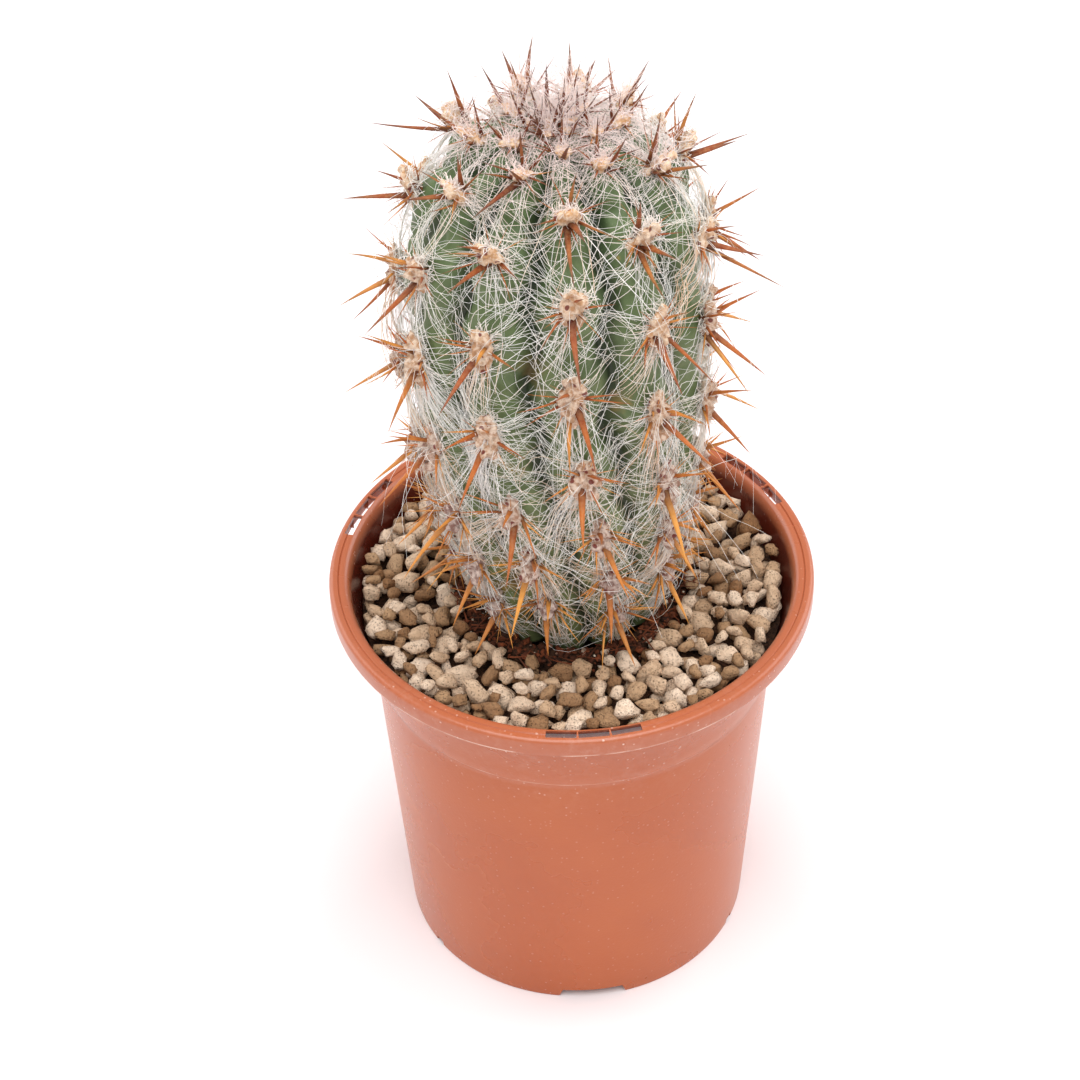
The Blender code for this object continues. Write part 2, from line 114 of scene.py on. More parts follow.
def runTree(obj, tree, values):
    # Puts the tree on the object, sets its inputs, and keeps the result as a plain mesh
    modifier = obj.modifiers.new(tree.name, "NODES")
    modifier.node_group = tree
    for item in tree.interface.items_tree:
        if item.item_type == "SOCKET" and item.in_out == "INPUT" and item.name in values:
            modifier[item.identifier] = values[item.name]
    keepResult(obj)


def keepResult(obj):
    graph = bpy.context.evaluated_depsgraph_get()
    result = bpy.data.meshes.new_from_object(obj.evaluated_get(graph), depsgraph=graph)
    obj.modifiers.clear()
    rough = obj.data
    obj.data = result
    bpy.data.meshes.remove(rough)
    result.name = obj.name


def fade(value):
    value = np.clip(value, 0.0, 1.0)
    return value * value * (3 - 2 * value)


def between(limits, share):
    return limits[0] + (limits[1] - limits[0]) * share


def addObject(name, content):
    obj = bpy.data.objects.new(name, content)
    bpy.context.scene.collection.objects.link(obj)
    return obj


def meshObject(name, points, edges=(), faces=()):
    mesh = bpy.data.meshes.new(name)
    mesh.from_pydata(points, edges, faces)
    mesh.update()
    return addObject(name, mesh)


def storeNumbers(mesh, name, values):
    layer = mesh.attributes.new(name, "FLOAT", "POINT")
    layer.data.foreach_set("value", np.asarray(values, np.float32).ravel())


def storeVectors(mesh, name, values):
    layer = mesh.attributes.new(name, "FLOAT_VECTOR", "POINT")
    layer.data.foreach_set("vector", np.asarray(values, np.float32).ravel())


def finishPiece(obj, slot, *nodes):
    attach(obj, "root")
    if nodes:
        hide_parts(*nodes)
    print("made", obj.name, len(obj.data.polygons), "faces")


# Effects that several materials share

def makeMottleGroup():
    # Soft patches: 0 to 1, with a chosen contrast
    group, given = newTree("soft mottle", "ShaderNodeTree", {
        "Vector": "Vector", "Scale": 100.0, "Detail": 4.0, "Low": 0.4, "High": 0.6}, {"Value": "Float"})
    noise = addNode(group, "ShaderNodeTexNoise", {
        "Vector": given["Vector"], "Scale": given["Scale"], "Detail": given["Detail"], "Roughness": 0.6})
    spread = ramp(group, noise.outputs["Fac"], given["Low"], given["High"])
    addNode(group, "NodeGroupOutput", {"Value": spread})
    return group


def makeSpeckGroup():
    # Small round specks at scattered places: 1 in a speck, 0 elsewhere
    group, given = newTree("fine specks", "ShaderNodeTree", {
        "Vector": "Vector", "Scale": 400.0, "Size": 0.2, "Share": 0.3}, {"Mask": "Float"})
    cells = addNode(group, "ShaderNodeTexVoronoi", {"Vector": given["Vector"], "Scale": given["Scale"]})
    near = ramp(group, cells.outputs["Distance"], given["Size"], 0.0)
    chosen = addNode(group, "ShaderNodeSeparateColor", {"Color": cells.outputs["Color"]})
    kept = mathNode(group, "LESS_THAN", chosen.outputs[0], given["Share"])
    addNode(group, "NodeGroupOutput", {"Mask": times(group, near, kept)})
    return group


def ramp(tree, value, low, high):
    return addNode(tree, "ShaderNodeMapRange", {"Value": value, "From Min": low, "From Max": high}).outputs[0]


mottleGroup = makeMottleGroup()
speckGroup = makeSpeckGroup()


def mottle(tree, place, scale, low=0.4, high=0.6, detail=4.0):
    return addNode(tree, "ShaderNodeGroup", {
        "Vector": place, "Scale": scale, "Detail": detail, "Low": low, "High": high},
        node_tree=mottleGroup).outputs[0]


def specks(tree, place, scale, size, share):
    return addNode(tree, "ShaderNodeGroup", {
        "Vector": place, "Scale": scale, "Size": size, "Share": share}, node_tree=speckGroup).outputs[0]


def attributeValue(tree, name):
    return addNode(tree, "ShaderNodeAttribute", attribute_name=name).outputs["Fac"]


def screenColour(colour):
    # A colour as it looks on a screen, 0 to 255, made linear; a socket stays as it is
    if isinstance(colour, bpy.types.NodeSocket):
        return colour
    parts = [part / 255 for part in colour]
    return (*[part / 12.92 if part <= 0.04045 else ((part + 0.055) / 1.055) ** 2.4 for part in parts], 1.0)


def coat(tree, under, mask, over, amount=1.0):
    # One colour over another where the mask is, as thick as the amount
    share = mask if amount == 1.0 else times(tree, mask, amount)
    return addNode(tree, "ShaderNodeMix", {0: share, 6: screenColour(under), 7: screenColour(over)},
                   data_type="RGBA").outputs[2]


def startMaterial(name, roughness, specular, sheen=0.0, sheenRoughness=0.5):
    material = bpy.data.materials.new(name)
    material.use_nodes = True
    tree = material.node_tree
    shader = tree.nodes["Principled BSDF"]
    for label, value in (("Roughness", roughness), ("Specular IOR Level", specular), ("Sheen Weight", sheen),
                         ("Sheen Roughness", sheenRoughness)):
        shader.inputs[label].default_value = value
    return tree, shader, addNode(tree, "ShaderNodeTexCoord").outputs["Object"], material


def finishMaterial(material, colour, relief=None, strength=1.0, distance=0.001):
    tree = material.node_tree
    shader = tree.nodes["Principled BSDF"]
    tree.links.new(colour, shader.inputs["Base Color"])
    if relief is not None:
        bump = addNode(tree, "ShaderNodeBump", {"Height": relief, "Strength": strength, "Distance": distance})
        tree.links.new(bump.outputs["Normal"], shader.inputs["Normal"])
    return material


# Materials: numbers beside a mottle or specks are its scale, then its contrast or its size and share

def plasticMaterial():
    tree, shader, place, material = startMaterial("terracotta plastic", 0.26, 0.6)
    axes = addNode(tree, "ShaderNodeSeparateXYZ", {"Vector": place}).outputs
    height = axes["Z"]
    patches = mottle(tree, place, 18.0, 0.3, 0.7)
    colour = coat(tree, (174, 80, 24), patches, (182, 89, 30))
    colour = coat(tree, colour, ramp(tree, height, 0.148, 0.152), (178, 100, 68), 0.8)
    # painted shade: the inner wall and the channel under the ledge are darkened to a deep red-brown
    colour = coat(tree, colour, attributeValue(tree, "inside"), (86, 30, 18))
    # pale wear along the lip's lower edge and the collar's step
    reach = vectorMath(tree, "LENGTH", vectorMath(tree, "MULTIPLY", place, (1.0, 1.0, 0.0)))
    lipFoot, collarFoot = [
        addNode(tree, "ShaderNodeMath", {0: height, 1: level, 2: width}, operation="COMPARE").outputs[0]
        for level, width in ((0.1513, 0.00045), (0.1229, 0.0004))]
    lipFoot = times(tree, lipFoot, mathNode(tree, "GREATER_THAN", reach, 0.0838))
    lines = mathNode(tree, "ADD", lipFoot, times(tree, collarFoot, 0.45))
    worn = times(tree, lines, mottle(tree, place, 90.0, 0.4, 0.62))
    colour = coat(tree, colour, worn, (240, 205, 184), 0.7)
    # dust: specks on the whole wall, thickest on the front of the collar
    front = times(tree, ramp(tree, axes["Y"], -0.045, -0.075), ramp(tree, height, 0.104, 0.124))
    dusty = times(tree, front, mottle(tree, place, 45.0, 0.38, 0.6))
    smear = times(tree, dusty, mottle(tree, place, 330.0, 0.45, 0.75))
    colour = coat(tree, colour, smear, (244, 214, 196), 0.12)
    fine, coarse = [
        times(tree, specks(tree, place, scale, size, 0.22), mathNode(tree, "ADD", dusty, everywhere))
        for scale, size, everywhere in ((560.0, 0.26, 0.22), (230.0, 0.13, 0.16))]
    dust = mathNode(tree, "ADD", fine, coarse, clamp=True)
    colour = coat(tree, colour, dust, (248, 230, 216), 0.8)
    rough = addNode(tree, "ShaderNodeMapRange", {"Value": patches, "To Min": 0.24, "To Max": 0.31})
    tree.links.new(mathNode(tree, "ADD", rough.outputs[0], times(tree, dust, 0.3)), shader.inputs["Roughness"])
    return finishMaterial(material, colour, mottle(tree, place, 900.0, 0.3, 0.7, 2.0), 0.08, 0.0003)


def earthMaterial():
    tree, _, place, material = startMaterial("growing mix", 0.95, 0.2)
    crumbs = mottle(tree, place, 520.0, 0.35, 0.65)
    colour = coat(tree, (38, 24, 18), crumbs, (92, 62, 44))
    colour = coat(tree, colour, specks(tree, place, 480.0, 0.24, 0.10), (226, 214, 196))
    return finishMaterial(material, colour, crumbs, 0.9, 0.0012)


def pumiceMaterial():
    tree, _, place, material = startMaterial("pumice", 0.92, 0.25)
    tint = attributeValue(tree, "tint")
    colour = coat(tree, (136, 96, 62), ramp(tree, tint, 0.0, 0.35), (186, 150, 114))
    colour = coat(tree, colour, ramp(tree, tint, 0.35, 0.6), (224, 194, 164))
    colour = coat(tree, colour, ramp(tree, tint, 0.6, 1.0), (244, 220, 196))
    colour = coat(tree, colour, mottle(tree, place, 300.0, 0.44, 0.62), (168, 132, 98), 0.30)
    # painted shade in the pits and pores: they are darkened, and the bump sinks them
    pits = specks(tree, place, 1150.0, 0.46, 0.5)
    pores = specks(tree, place, 2300.0, 0.5, 0.4)
    pitShade = mathNode(tree, "MAXIMUM", pits, times(tree, pores, 0.6))
    colour = coat(tree, colour, pitShade, (92, 70, 52), 0.72)
    relief = mathNode(tree, "SUBTRACT", mottle(tree, place, 700.0, 0.25, 0.75, 6.0), pitShade)
    return finishMaterial(material, colour, relief, 0.9, 0.0007)


def skinMaterial():
    tree, _, place, material = startMaterial("cactus skin", 0.5, 0.45)
    cleft = attributeValue(tree, "cleft")
    age = attributeValue(tree, "age")
    fresh = coat(tree, (70, 92, 54), mottle(tree, place, 70.0, 0.35, 0.65), (98, 120, 76))
    old = coat(tree, (92, 108, 64), mottle(tree, place, 90.0, 0.35, 0.65), (126, 136, 88))
    colour = coat(tree, fresh, age, old)
    # a grey wax bloom with painted sheen on the rounds, and painted shade, dark green, down in the clefts
    bloomAndSheen = times(tree, ramp(tree, cleft, 0.7, 0.1), mottle(tree, place, 160.0, 0.42, 0.66))
    colour = coat(tree, colour, bloomAndSheen, (132, 148, 104), 0.34)
    colour = coat(tree, colour, ramp(tree, cleft, 0.62, 0.95), (18, 32, 18), 0.88)
    # pale pores, corky marks where the skin is old, and a few stains
    colour = coat(tree, colour, specks(tree, place, 900.0, 0.3, 0.35), (150, 166, 116), 0.28)
    cork = times(tree, mottle(tree, place, 55.0, 0.60, 0.70), ramp(tree, age, 0.25, 0.8))
    colour = coat(tree, colour, cork, (186, 140, 70), 0.75)
    colour = coat(tree, colour, specks(tree, place, 130.0, 0.16, 0.10), (176, 140, 60), 0.6)
    relief = mathNode(tree, "ADD", mottle(tree, place, 1400.0, 0.2, 0.8, 2.0),
                      times(tree, mottle(tree, place, 240.0, 0.2, 0.8, 3.0), 2.0))
    return finishMaterial(material, colour, relief, 0.25, 0.0004)


def spineMaterial():
    tree, _, place, material = startMaterial("spines", 0.46, 0.3)
    along, age, tint = [attributeValue(tree, name) for name in ("along", "age", "tint")]
    colour = coat(tree, (98, 20, 8), ramp(tree, age, 0.02, 0.42), (188, 94, 28))
    colour = coat(tree, colour, ramp(tree, age, 0.5, 1.0), (204, 134, 62))
    yellow = times(tree, ramp(tree, tint, 0.55, 1.0), 0.75, ramp(tree, age, 0.06, 0.3))
    colour = coat(tree, colour, yellow, (232, 162, 72))
    colour = coat(tree, colour, ramp(tree, tint, 0.35, 0.0), (146, 60, 22), 0.6)
    # dark red at the foot, grey at the tip of a young one
    colour = coat(tree, colour, ramp(tree, along, 0.5, 0.14), (72, 16, 10), 0.92)
    tips = times(tree, ramp(tree, along, 0.45, 0.85), ramp(tree, age, 0.75, 0.05))
    colour = coat(tree, colour, tips, (74, 52, 48), 0.9)
    streaks = mottle(tree, place, 700.0, 0.35, 0.65)
    colour = coat(tree, colour, streaks, (240, 196, 132), 0.14)
    return finishMaterial(material, colour, streaks, 0.3, 0.0003)


def woolMaterial():
    tree, _, place, material = startMaterial("areole wool", 0.95, 0.15, 0.15, 0.6)
    shade = mottle(tree, place, 500.0, 0.4, 0.6)
    young = coat(tree, (220, 168, 118), shade, (255, 230, 200))
    grey = coat(tree, (146, 110, 98), shade, (226, 206, 194))
    colour = coat(tree, young, ramp(tree, attributeValue(tree, "age"), 0.15, 0.8), grey)
    # dark feet of spines that sit deep in the wool
    feet = specks(tree, place, 290.0, 0.34, 0.6)
    colour = coat(tree, colour, ramp(tree, feet, 0.08, 0.3), (116, 30, 22), 0.9)
    return finishMaterial(material, colour, mottle(tree, place, 1600.0, 0.2, 0.8), 0.8, 0.0006)


def hairMaterial():
    tree, _, place, material = startMaterial("white hair", 0.36, 0.6, 1.0, 0.5)
    tint = attributeValue(tree, "tint")
    colour = coat(tree, (255, 254, 250), ramp(tree, tint, 0.1, 0.7), (255, 232, 206))
    colour = coat(tree, colour, ramp(tree, tint, 0.7, 1.0), (222, 168, 112))
    colour = coat(tree, colour, mottle(tree, place, 220.0, 0.4, 0.7), (248, 236, 222), 0.2)
    # pink at the crown
    height = addNode(tree, "ShaderNodeSeparateXYZ", {"Vector": place}).outputs["Z"]
    colour = coat(tree, colour, ramp(tree, height, 0.326, 0.345), (255, 228, 222), 0.8)
    return finishMaterial(material, colour)


def litterMaterial():
    tree, _, place, material = startMaterial("dry litter", 0.9, 0.25)
    tint = attributeValue(tree, "tint")
    colour = coat(tree, (34, 20, 14), ramp(tree, tint, 0.0, 0.8), (128, 66, 38))
    colour = coat(tree, colour, ramp(tree, tint, 0.9, 0.93), (222, 206, 184))
    colour = coat(tree, colour, mottle(tree, place, 800.0), (60, 38, 28), 0.4)
    return finishMaterial(material, colour)


plastic, earth, pumice, skinGreen, spineHorn, wool, whiteHair, dryLitter = [make() for make in (
    plasticMaterial, earthMaterial, pumiceMaterial, skinMaterial, spineMaterial, woolMaterial, hairMaterial,
    litterMaterial)]
print("materials ready")


# Pot: the CAD pot's own profile with rounder edges and more steps

potSizes = {
    "height": 0.158, "rim": 0.085, "rimRound": 0.0017, "edgeRound": 0.0005, "lipDrop": 0.007, "lipWall": 0.0013,
    "ledgeWall": 0.0014, "collarBase": 0.1224, "collarTop": 0.0795, "collarStep": 0.0005, "flare": 1.25,
    "shoulder": 0.071, "foot": 0.063, "footWall": 0.0019, "wall": 0.0014, "plateUnder": 0.0045, "plateTop": 0.006,
    "wallLevels": (0.12, 0.003, 6), "collarLevels": (0.1551, 0.1236, 9), "steps": 192, "merge": 0.00001,
    "sharpAngle": 38,
    "insideLevels": (0.006, 0.06, 0.1216, 0.1236, *np.linspace(0.127, 0.1569, 8)),
    # small steps in the profile, each as (outward, upward) from its corner: ledge, crease and shoulder
    "ledgeEdge": ((-0.0004, -0.0002), (0.0006, 0.0)),
    "crease": 0.0817, "creaseEdge": ((-0.0004, -0.0001), (0.0, -0.0005), (0.0003, 0.0)),
    "shoulderEdge": ((0.0003, 0.0004), (-0.0001, -0.0002)),
}

slotSizes = {
    "facing": 4.6, "groups": 3, "windows": 3, "inset": 0.0002, "angle": 7.25, "pitch": 7.7, "depth": 0.0031,
    "height": 0.0054, "thinning": 0.0007, "thinWidth": 1.09, "thinDrop": 0.0062, "thinTop": 0.0002,
}

footSizes = {
    "notches": ((0.0276, 0.0039), (0.0048, 0.0022)), "slope": 0.8, "below": 0.004,
    "drains": 6, "drainRadius": 0.0045, "drainCircle": 0.044, "drainSides": 24, "drainLevels": (0.002, 0.009),
}

# where the pot's inside gets painted shade: below the ledge it fades, and the lip's channel is painted dark up to
# its top
shadeSizes = {
    "fadeFrom": 0.1545, "fadeRun": 0.0022, "channel": (0.1512, 0.1568), "channelWall": 0.0009, "slack": 0.0001,
}


def wallRadius(height):
    return between((potSizes["foot"], potSizes["shoulder"]), height / potSizes["collarBase"])


def collarRadius(height):
    reach = potSizes["height"] - potSizes["ledgeWall"] - potSizes["collarBase"]
    rise = max(0.0, height - potSizes["collarBase"]) / reach
    return between((potSizes["shoulder"] + potSizes["collarStep"], potSizes["collarTop"]),
                   rise ** potSizes["flare"])


def outerRadius(height):
    return wallRadius(height) if height < potSizes["collarBase"] else collarRadius(height)


def roundEdge(corner, radius, first, last, steps):
    # Points of an arc inside a corner, in degrees from straight out, as (radius, height)
    centre = (corner[0] - radius, corner[1] - radius if first > 0 else corner[1] + radius)
    return [(centre[0] + radius * math.cos(math.radians(angle)), centre[1] + radius * math.sin(math.radians(angle)))
            for angle in np.linspace(first, last, steps)]


def steppedEdge(corner, steps):
    return [(corner[0] + out, corner[1] + up) for out, up in steps]


def potProfile():
    sizes = potSizes
    top, rim = sizes["height"], sizes["rim"]
    lipBase = top - sizes["lipDrop"]
    ledgeUnder = top - sizes["ledgeWall"]
    footInner = sizes["foot"] - sizes["footWall"]
    return (
        [(0.0, sizes["plateTop"])]
        + [(outerRadius(height) - sizes["wall"], height) for height in sizes["insideLevels"]]
        + steppedEdge((sizes["collarTop"], top), sizes["ledgeEdge"])
        + steppedEdge((sizes["crease"], top), sizes["creaseEdge"])
        + roundEdge((rim, top), sizes["rimRound"], 90, 0, 7)
        + roundEdge((rim, lipBase), sizes["edgeRound"], 0, -90, 4)
        + [(rim - sizes["lipWall"], lipBase), (rim - sizes["lipWall"], ledgeUnder), (sizes["collarTop"], ledgeUnder)]
        + [(collarRadius(height), height) for height in np.linspace(*sizes["collarLevels"])]
        + steppedEdge((sizes["shoulder"], sizes["collarBase"]), sizes["shoulderEdge"])
        + [(wallRadius(height), height) for height in np.linspace(*sizes["wallLevels"])]
        + roundEdge((sizes["foot"], 0.0), sizes["edgeRound"], 0, -90, 4)
        + [(footInner, 0.0), (footInner, sizes["plateUnder"]), (0.0, sizes["plateUnder"])]
    )


def boxAt(size, place, turn, taper=1.0):
    # A cutting box that faces -Y at its place before it is turned
    half = [part / 2 for part in size]
    corners = [(x * half[0] * (taper if z > 0 else 1.0), y * half[1], z * half[2])
               for x in (-1, 1) for y in (-1, 1) for z in (-1, 1)]
    faces = [(0, 1, 3, 2), (4, 6, 7, 5), (0, 4, 5, 1), (2, 3, 7, 6), (0, 2, 6, 4), (1, 5, 7, 3)]
    box = meshObject("cutter", corners, faces=faces)
    box.data.transform(Matrix.Rotation(math.radians(turn), 4, "Z") @ Matrix.Translation(place))
    return box


def potCutters():
    slot, foot = slotSizes, footSizes
    ledge = potSizes["height"] - potSizes["ledgeWall"]
    middle = potSizes["collarTop"] + slot["inset"] + slot["depth"] / 2
    width = 2 * middle * math.tan(math.radians(slot["angle"]) / 2)
    # behind each window the lip is thinner, so that light comes up between it and the collar
    window = ((width, slot["depth"], slot["height"]), (0.0, -middle, ledge + potSizes["ledgeWall"] / 2))
    thinned = ((width * slot["thinWidth"], slot["thinning"] * 2, slot["thinDrop"]),
               (0.0, potSizes["lipWall"] - potSizes["rim"], ledge - slot["thinDrop"] / 2 - slot["thinTop"]))
    boxes = []
    for group in range(slot["groups"]):
        for size, place in (window, thinned):
            for step in range(slot["windows"]):
                turn = slot["facing"] + group * 360 / slot["groups"]
                turn += (step - (slot["windows"] - 1) / 2) * slot["pitch"]
                boxes.append(boxAt(size, place, turn))
    for index in range(2 * slot["groups"]):
        notchWidth, notchHeight = foot["notches"][index % 2]
        boxes.append(boxAt((notchWidth, 4 * potSizes["footWall"], notchHeight + foot["below"]),
                           (0.0, potSizes["footWall"] / 2 - potSizes["foot"], (notchHeight - foot["below"]) / 2),
                           slot["facing"] + index * 180 / slot["groups"], foot["slope"]))
    sides = foot["drainSides"]
    ring = [(foot["drainRadius"] * math.cos(angle), foot["drainRadius"] * math.sin(angle))
            for angle in np.linspace(0, 2 * math.pi, sides, endpoint=False)]
    faces = [(step, (step + 1) % sides, sides + (step + 1) % sides, sides + step) for step in range(sides)]
    faces += [tuple(range(sides - 1, -1, -1)), tuple(range(sides, 2 * sides))]
    for index in range(foot["drains"]):
        turn = math.radians(slot["facing"] + (index + 0.5) * 360 / foot["drains"])
        centre = (foot["drainCircle"] * math.sin(turn), -foot["drainCircle"] * math.cos(turn))
        points = [(centre[0] + x, centre[1] + y, height) for height in foot["drainLevels"] for x, y in ring]
        boxes.append(meshObject("cutter", points, faces=faces))
    return boxes


def markSharp(mesh, degrees):
    # Smooth faces, with a hard edge wherever two faces meet at more than this angle
    mesh.shade_smooth()
    normals = np.empty(len(mesh.polygons) * 3, np.float32)
    mesh.polygons.foreach_get("normal", normals)
    normals = normals.reshape(-1, 3)
    seen = {}
    sharp = np.zeros(len(mesh.edges), bool)
    for face in mesh.polygons:
        for loop in face.loop_indices:
            edge = mesh.loops[loop].edge_index
            if edge in seen:
                sharp[edge] = float(normals[seen[edge]] @ normals[face.index]) < math.cos(math.radians(degrees))
            else:
                seen[edge] = face.index
    layer = mesh.attributes.get("sharp_edge") or mesh.attributes.new("sharp_edge", "BOOLEAN", "EDGE")
    layer.data.foreach_set("value", sharp)


def paintedShadeShare(x, y, z):
    # 1 on the inner wall and in the channel under the ledge, where little light gets in: painted shade
    shade = shadeSizes
    reach = math.hypot(x, y)
    if z < potSizes["plateTop"] - shade["slack"]:
        return 0.0
    if reach < outerRadius(z) - potSizes["wall"] / 2:
        return float(1 - fade((z - shade["fadeFrom"]) / shade["fadeRun"]))
    low, high = shade["channel"]
    return float(low < z < high and reach < potSizes["rim"] - shade["channelWall"])


def makePot():
    profile = [(radius, 0.0, height) for radius, height in potProfile()]
    pot = meshObject("potShell", profile, edges=[(index, index + 1) for index in range(len(profile) - 1)])
    turned = pot.modifiers.new("turned", "SCREW")
    turned.axis = "Z"
    turned.steps = turned.render_steps = potSizes["steps"]
    turned.use_merge_vertices = True
    turned.merge_threshold = potSizes["merge"]
    cutters = potCutters()
    holes = bpy.data.collections.new("cutters")
    for box in cutters:
        holes.objects.link(box)
    cut = pot.modifiers.new("cut", "BOOLEAN")
    cut.operation = "DIFFERENCE"
    cut.operand_type = "COLLECTION"
    cut.collection = holes
    cut.solver = "EXACT"
    keepResult(pot)
    for box in cutters:
        bpy.data.objects.remove(box, do_unlink=True)
    bpy.data.collections.remove(holes)
    markSharp(pot.data, potSizes["sharpAngle"])
    # the painted shade of the inner wall and the channel, 0 to 1
    storeNumbers(pot.data, "inside", [paintedShadeShare(*vertex.co) for vertex in pot.data.vertices])
    pot.data.materials.clear()
    pot.data.materials.append(plastic)
    finishPiece(pot, "pot_plastic", "pot")


makePot()


# Lumps on points and tubes along edges, which several pieces share

flatNames = ("flatA", "flatB", "flatC")


def crumbTree():
    # Worn lumps on points: each has its own size, turn, hollows and flats
    tree, given = geometryTree("crumbs", {
        "Roundness": 0.8, "Relief": 0.5, "Relief Scale": 1.1, "Flats": 0.66, "Sides": 3})
    cube = addNode(tree, "GeometryNodeMeshCube", {
        "Size": (2.0, 2.0, 2.0), **{"Vertices " + axis: given["Sides"] for axis in "XYZ"}})
    corner = addNode(tree, "GeometryNodeInputPosition").outputs[0]
    local = addNode(tree, "GeometryNodeStoreNamedAttribute", {
        "Geometry": cube.outputs[0], "Name": "local", "Value": corner}, data_type="FLOAT_VECTOR")
    placed = addNode(tree, "GeometryNodeInstanceOnPoints", {
        "Points": given["Geometry"], "Instance": local.outputs[0]})
    real = addNode(tree, "GeometryNodeRealizeInstances", {"Geometry": placed.outputs[0]})
    own = readVector(tree, "local")
    ball = vectorMath(tree, "NORMALIZE", own)
    squared = vectorMath(tree, "SCALE", own, scale=mathNode(tree, "SUBTRACT", 1.0, given["Roundness"]))
    body = vectorMath(tree, "ADD", vectorMath(tree, "SCALE", ball, scale=given["Roundness"]), squared)
    # each lump reads its own part of the noise, so that no two are alike
    shift = vectorMath(tree, "ADD", ball, readVector(tree, "shift"))
    noise = addNode(tree, "ShaderNodeTexNoise", {"Vector": shift, "Scale": given["Relief Scale"], "Detail": 1.0})
    swell = times(tree, mathNode(tree, "SUBTRACT", noise.outputs["Fac"], 0.5), given["Relief"])
    body = vectorMath(tree, "SCALE", body, scale=mathNode(tree, "ADD", swell, 1.0))
    for label in flatNames:
        facing = readVector(tree, label)
        over = mathNode(tree, "SUBTRACT", vectorMath(tree, "DOT_PRODUCT", body, facing), given["Flats"])
        over = times(tree, mathNode(tree, "MAXIMUM", over, 0.0), -0.85)
        body = vectorMath(tree, "ADD", body, vectorMath(tree, "SCALE", facing, scale=over))
    body = vectorMath(tree, "MULTIPLY", body, readVector(tree, "size"))
    turned = addNode(tree, "FunctionNodeRotateVector", {"Vector": body, "Rotation": readTurn(tree, "turn")})
    there = vectorMath(tree, "ADD", turned.outputs[0], readVector(tree, "centre"))
    shaped = addNode(tree, "GeometryNodeSetPosition", {"Geometry": real.outputs[0], "Position": there})
    return closeTree(tree, shaped.outputs[0], given["Material"])


def lumpPoints(name, lumps):
    # Bare points for the crumb tree: each lump is (place, size, turn, tint)
    places, lumpSizes, turns, tints = zip(*lumps)
    cloud = meshObject(name, places)
    draw = np.random.default_rng(len(lumps))
    shifts = draw.uniform(0, 60, (len(lumps), 3))
    for label, values in (("centre", places), ("size", lumpSizes), ("turn", turns), ("shift", shifts)):
        storeVectors(cloud.data, label, values)
    storeNumbers(cloud.data, "tint", tints)
    for label in flatNames:
        facing = draw.normal(0, 1, (len(lumps), 3))
        storeVectors(cloud.data, label, facing / np.linalg.norm(facing, axis=1)[:, None])
    return cloud


def threadTree():
    # Tubes along loose edges: "girth" is the half width at each point, and "slack" how far it may wave
    tree, given = geometryTree("threads", {"Sides": 3, "Flatness": 1.0, "Wave": 0.0, "Wave Scale": 120.0})
    path = addNode(tree, "GeometryNodeMeshToCurve", {"Mesh": given["Geometry"]})
    corner = addNode(tree, "GeometryNodeInputPosition").outputs[0]
    spot = vectorMath(tree, "ADD", corner, readVector(tree, "shift"))
    noise = addNode(tree, "ShaderNodeTexNoise", {"Vector": spot, "Scale": given["Wave Scale"], "Detail": 1.0})
    centred = vectorMath(tree, "SUBTRACT", noise.outputs["Color"], (0.5, 0.5, 0.5))
    sway = vectorMath(tree, "SCALE", centred, scale=times(tree, readNumber(tree, "slack"), given["Wave"]))
    waved = addNode(tree, "GeometryNodeSetPosition", {"Geometry": path.outputs[0], "Offset": sway})
    level = addNode(tree, "GeometryNodeSetCurveNormal", {"Curve": waved.outputs[0]}, mode="Z_UP")
    ring = addNode(tree, "GeometryNodeCurvePrimitiveCircle", {"Resolution": given["Sides"], "Radius": 1.0})
    flat = addNode(tree, "ShaderNodeCombineXYZ", {"X": 1.0, "Y": given["Flatness"], "Z": 1.0})
    section = addNode(tree, "GeometryNodeTransform", {"Geometry": ring.outputs[0], "Scale": flat.outputs[0]})
    tube = addNode(tree, "GeometryNodeCurveToMesh", {
        "Curve": level.outputs[0], "Profile Curve": section.outputs[0],
        "Scale": readNumber(tree, "girth"), "Fill Caps": True})
    return closeTree(tree, tube.outputs[0], given["Material"])


crumbs = crumbTree()
threads = threadTree()


def makeThreads(name, slot, nodes, paths, girths, inputs, seed=1, slack=0.0, **extras):
    # A piece of tubes: paths is an array of threads, points and coordinates, and extras are for the material
    count, steps = paths.shape[:2]
    starts = (np.arange(count) * steps)[:, None] + np.arange(steps - 1)[None, :]
    edges = np.stack([starts, starts + 1], -1).reshape(-1, 2)
    lines = meshObject(name, paths.reshape(-1, 3).tolist(), edges=edges.tolist())
    for label, values in {"girth": girths, "slack": slack, **extras}.items():
        storeNumbers(lines.data, label, np.broadcast_to(values, (count, steps)))
    shift = np.random.default_rng(seed).uniform(0, 3, (count, 1, 3))
    storeVectors(lines.data, "shift", np.repeat(shift, steps, axis=1))
    runTree(lines, threads, inputs)
    finishPiece(lines, slot, *nodes)


# Growing mix: the CAD solid stays, and crumbs of litter lie on its low ring round the stem

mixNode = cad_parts["substrate"]
mixNode.data.materials.clear()
mixNode.data.materials.append(earth)

litterSizes = {
    "inner": 0.0318, "outer": 0.0425, "level": 0.1490, "seed": 5, "crumbs": 1100, "crumbSize": (0.0004, 0.0017),
    "width": (0.5, 1.0), "thickness": (0.35, 0.8), "heap": 0.0012, "tip": 0.6, "spin": 6.28,
    # the ring's edge, where litter slopes down and fallen spines climb onto the stones
    "edge": 0.0385, "edgeRun": 0.004, "drop": 0.0028,
}


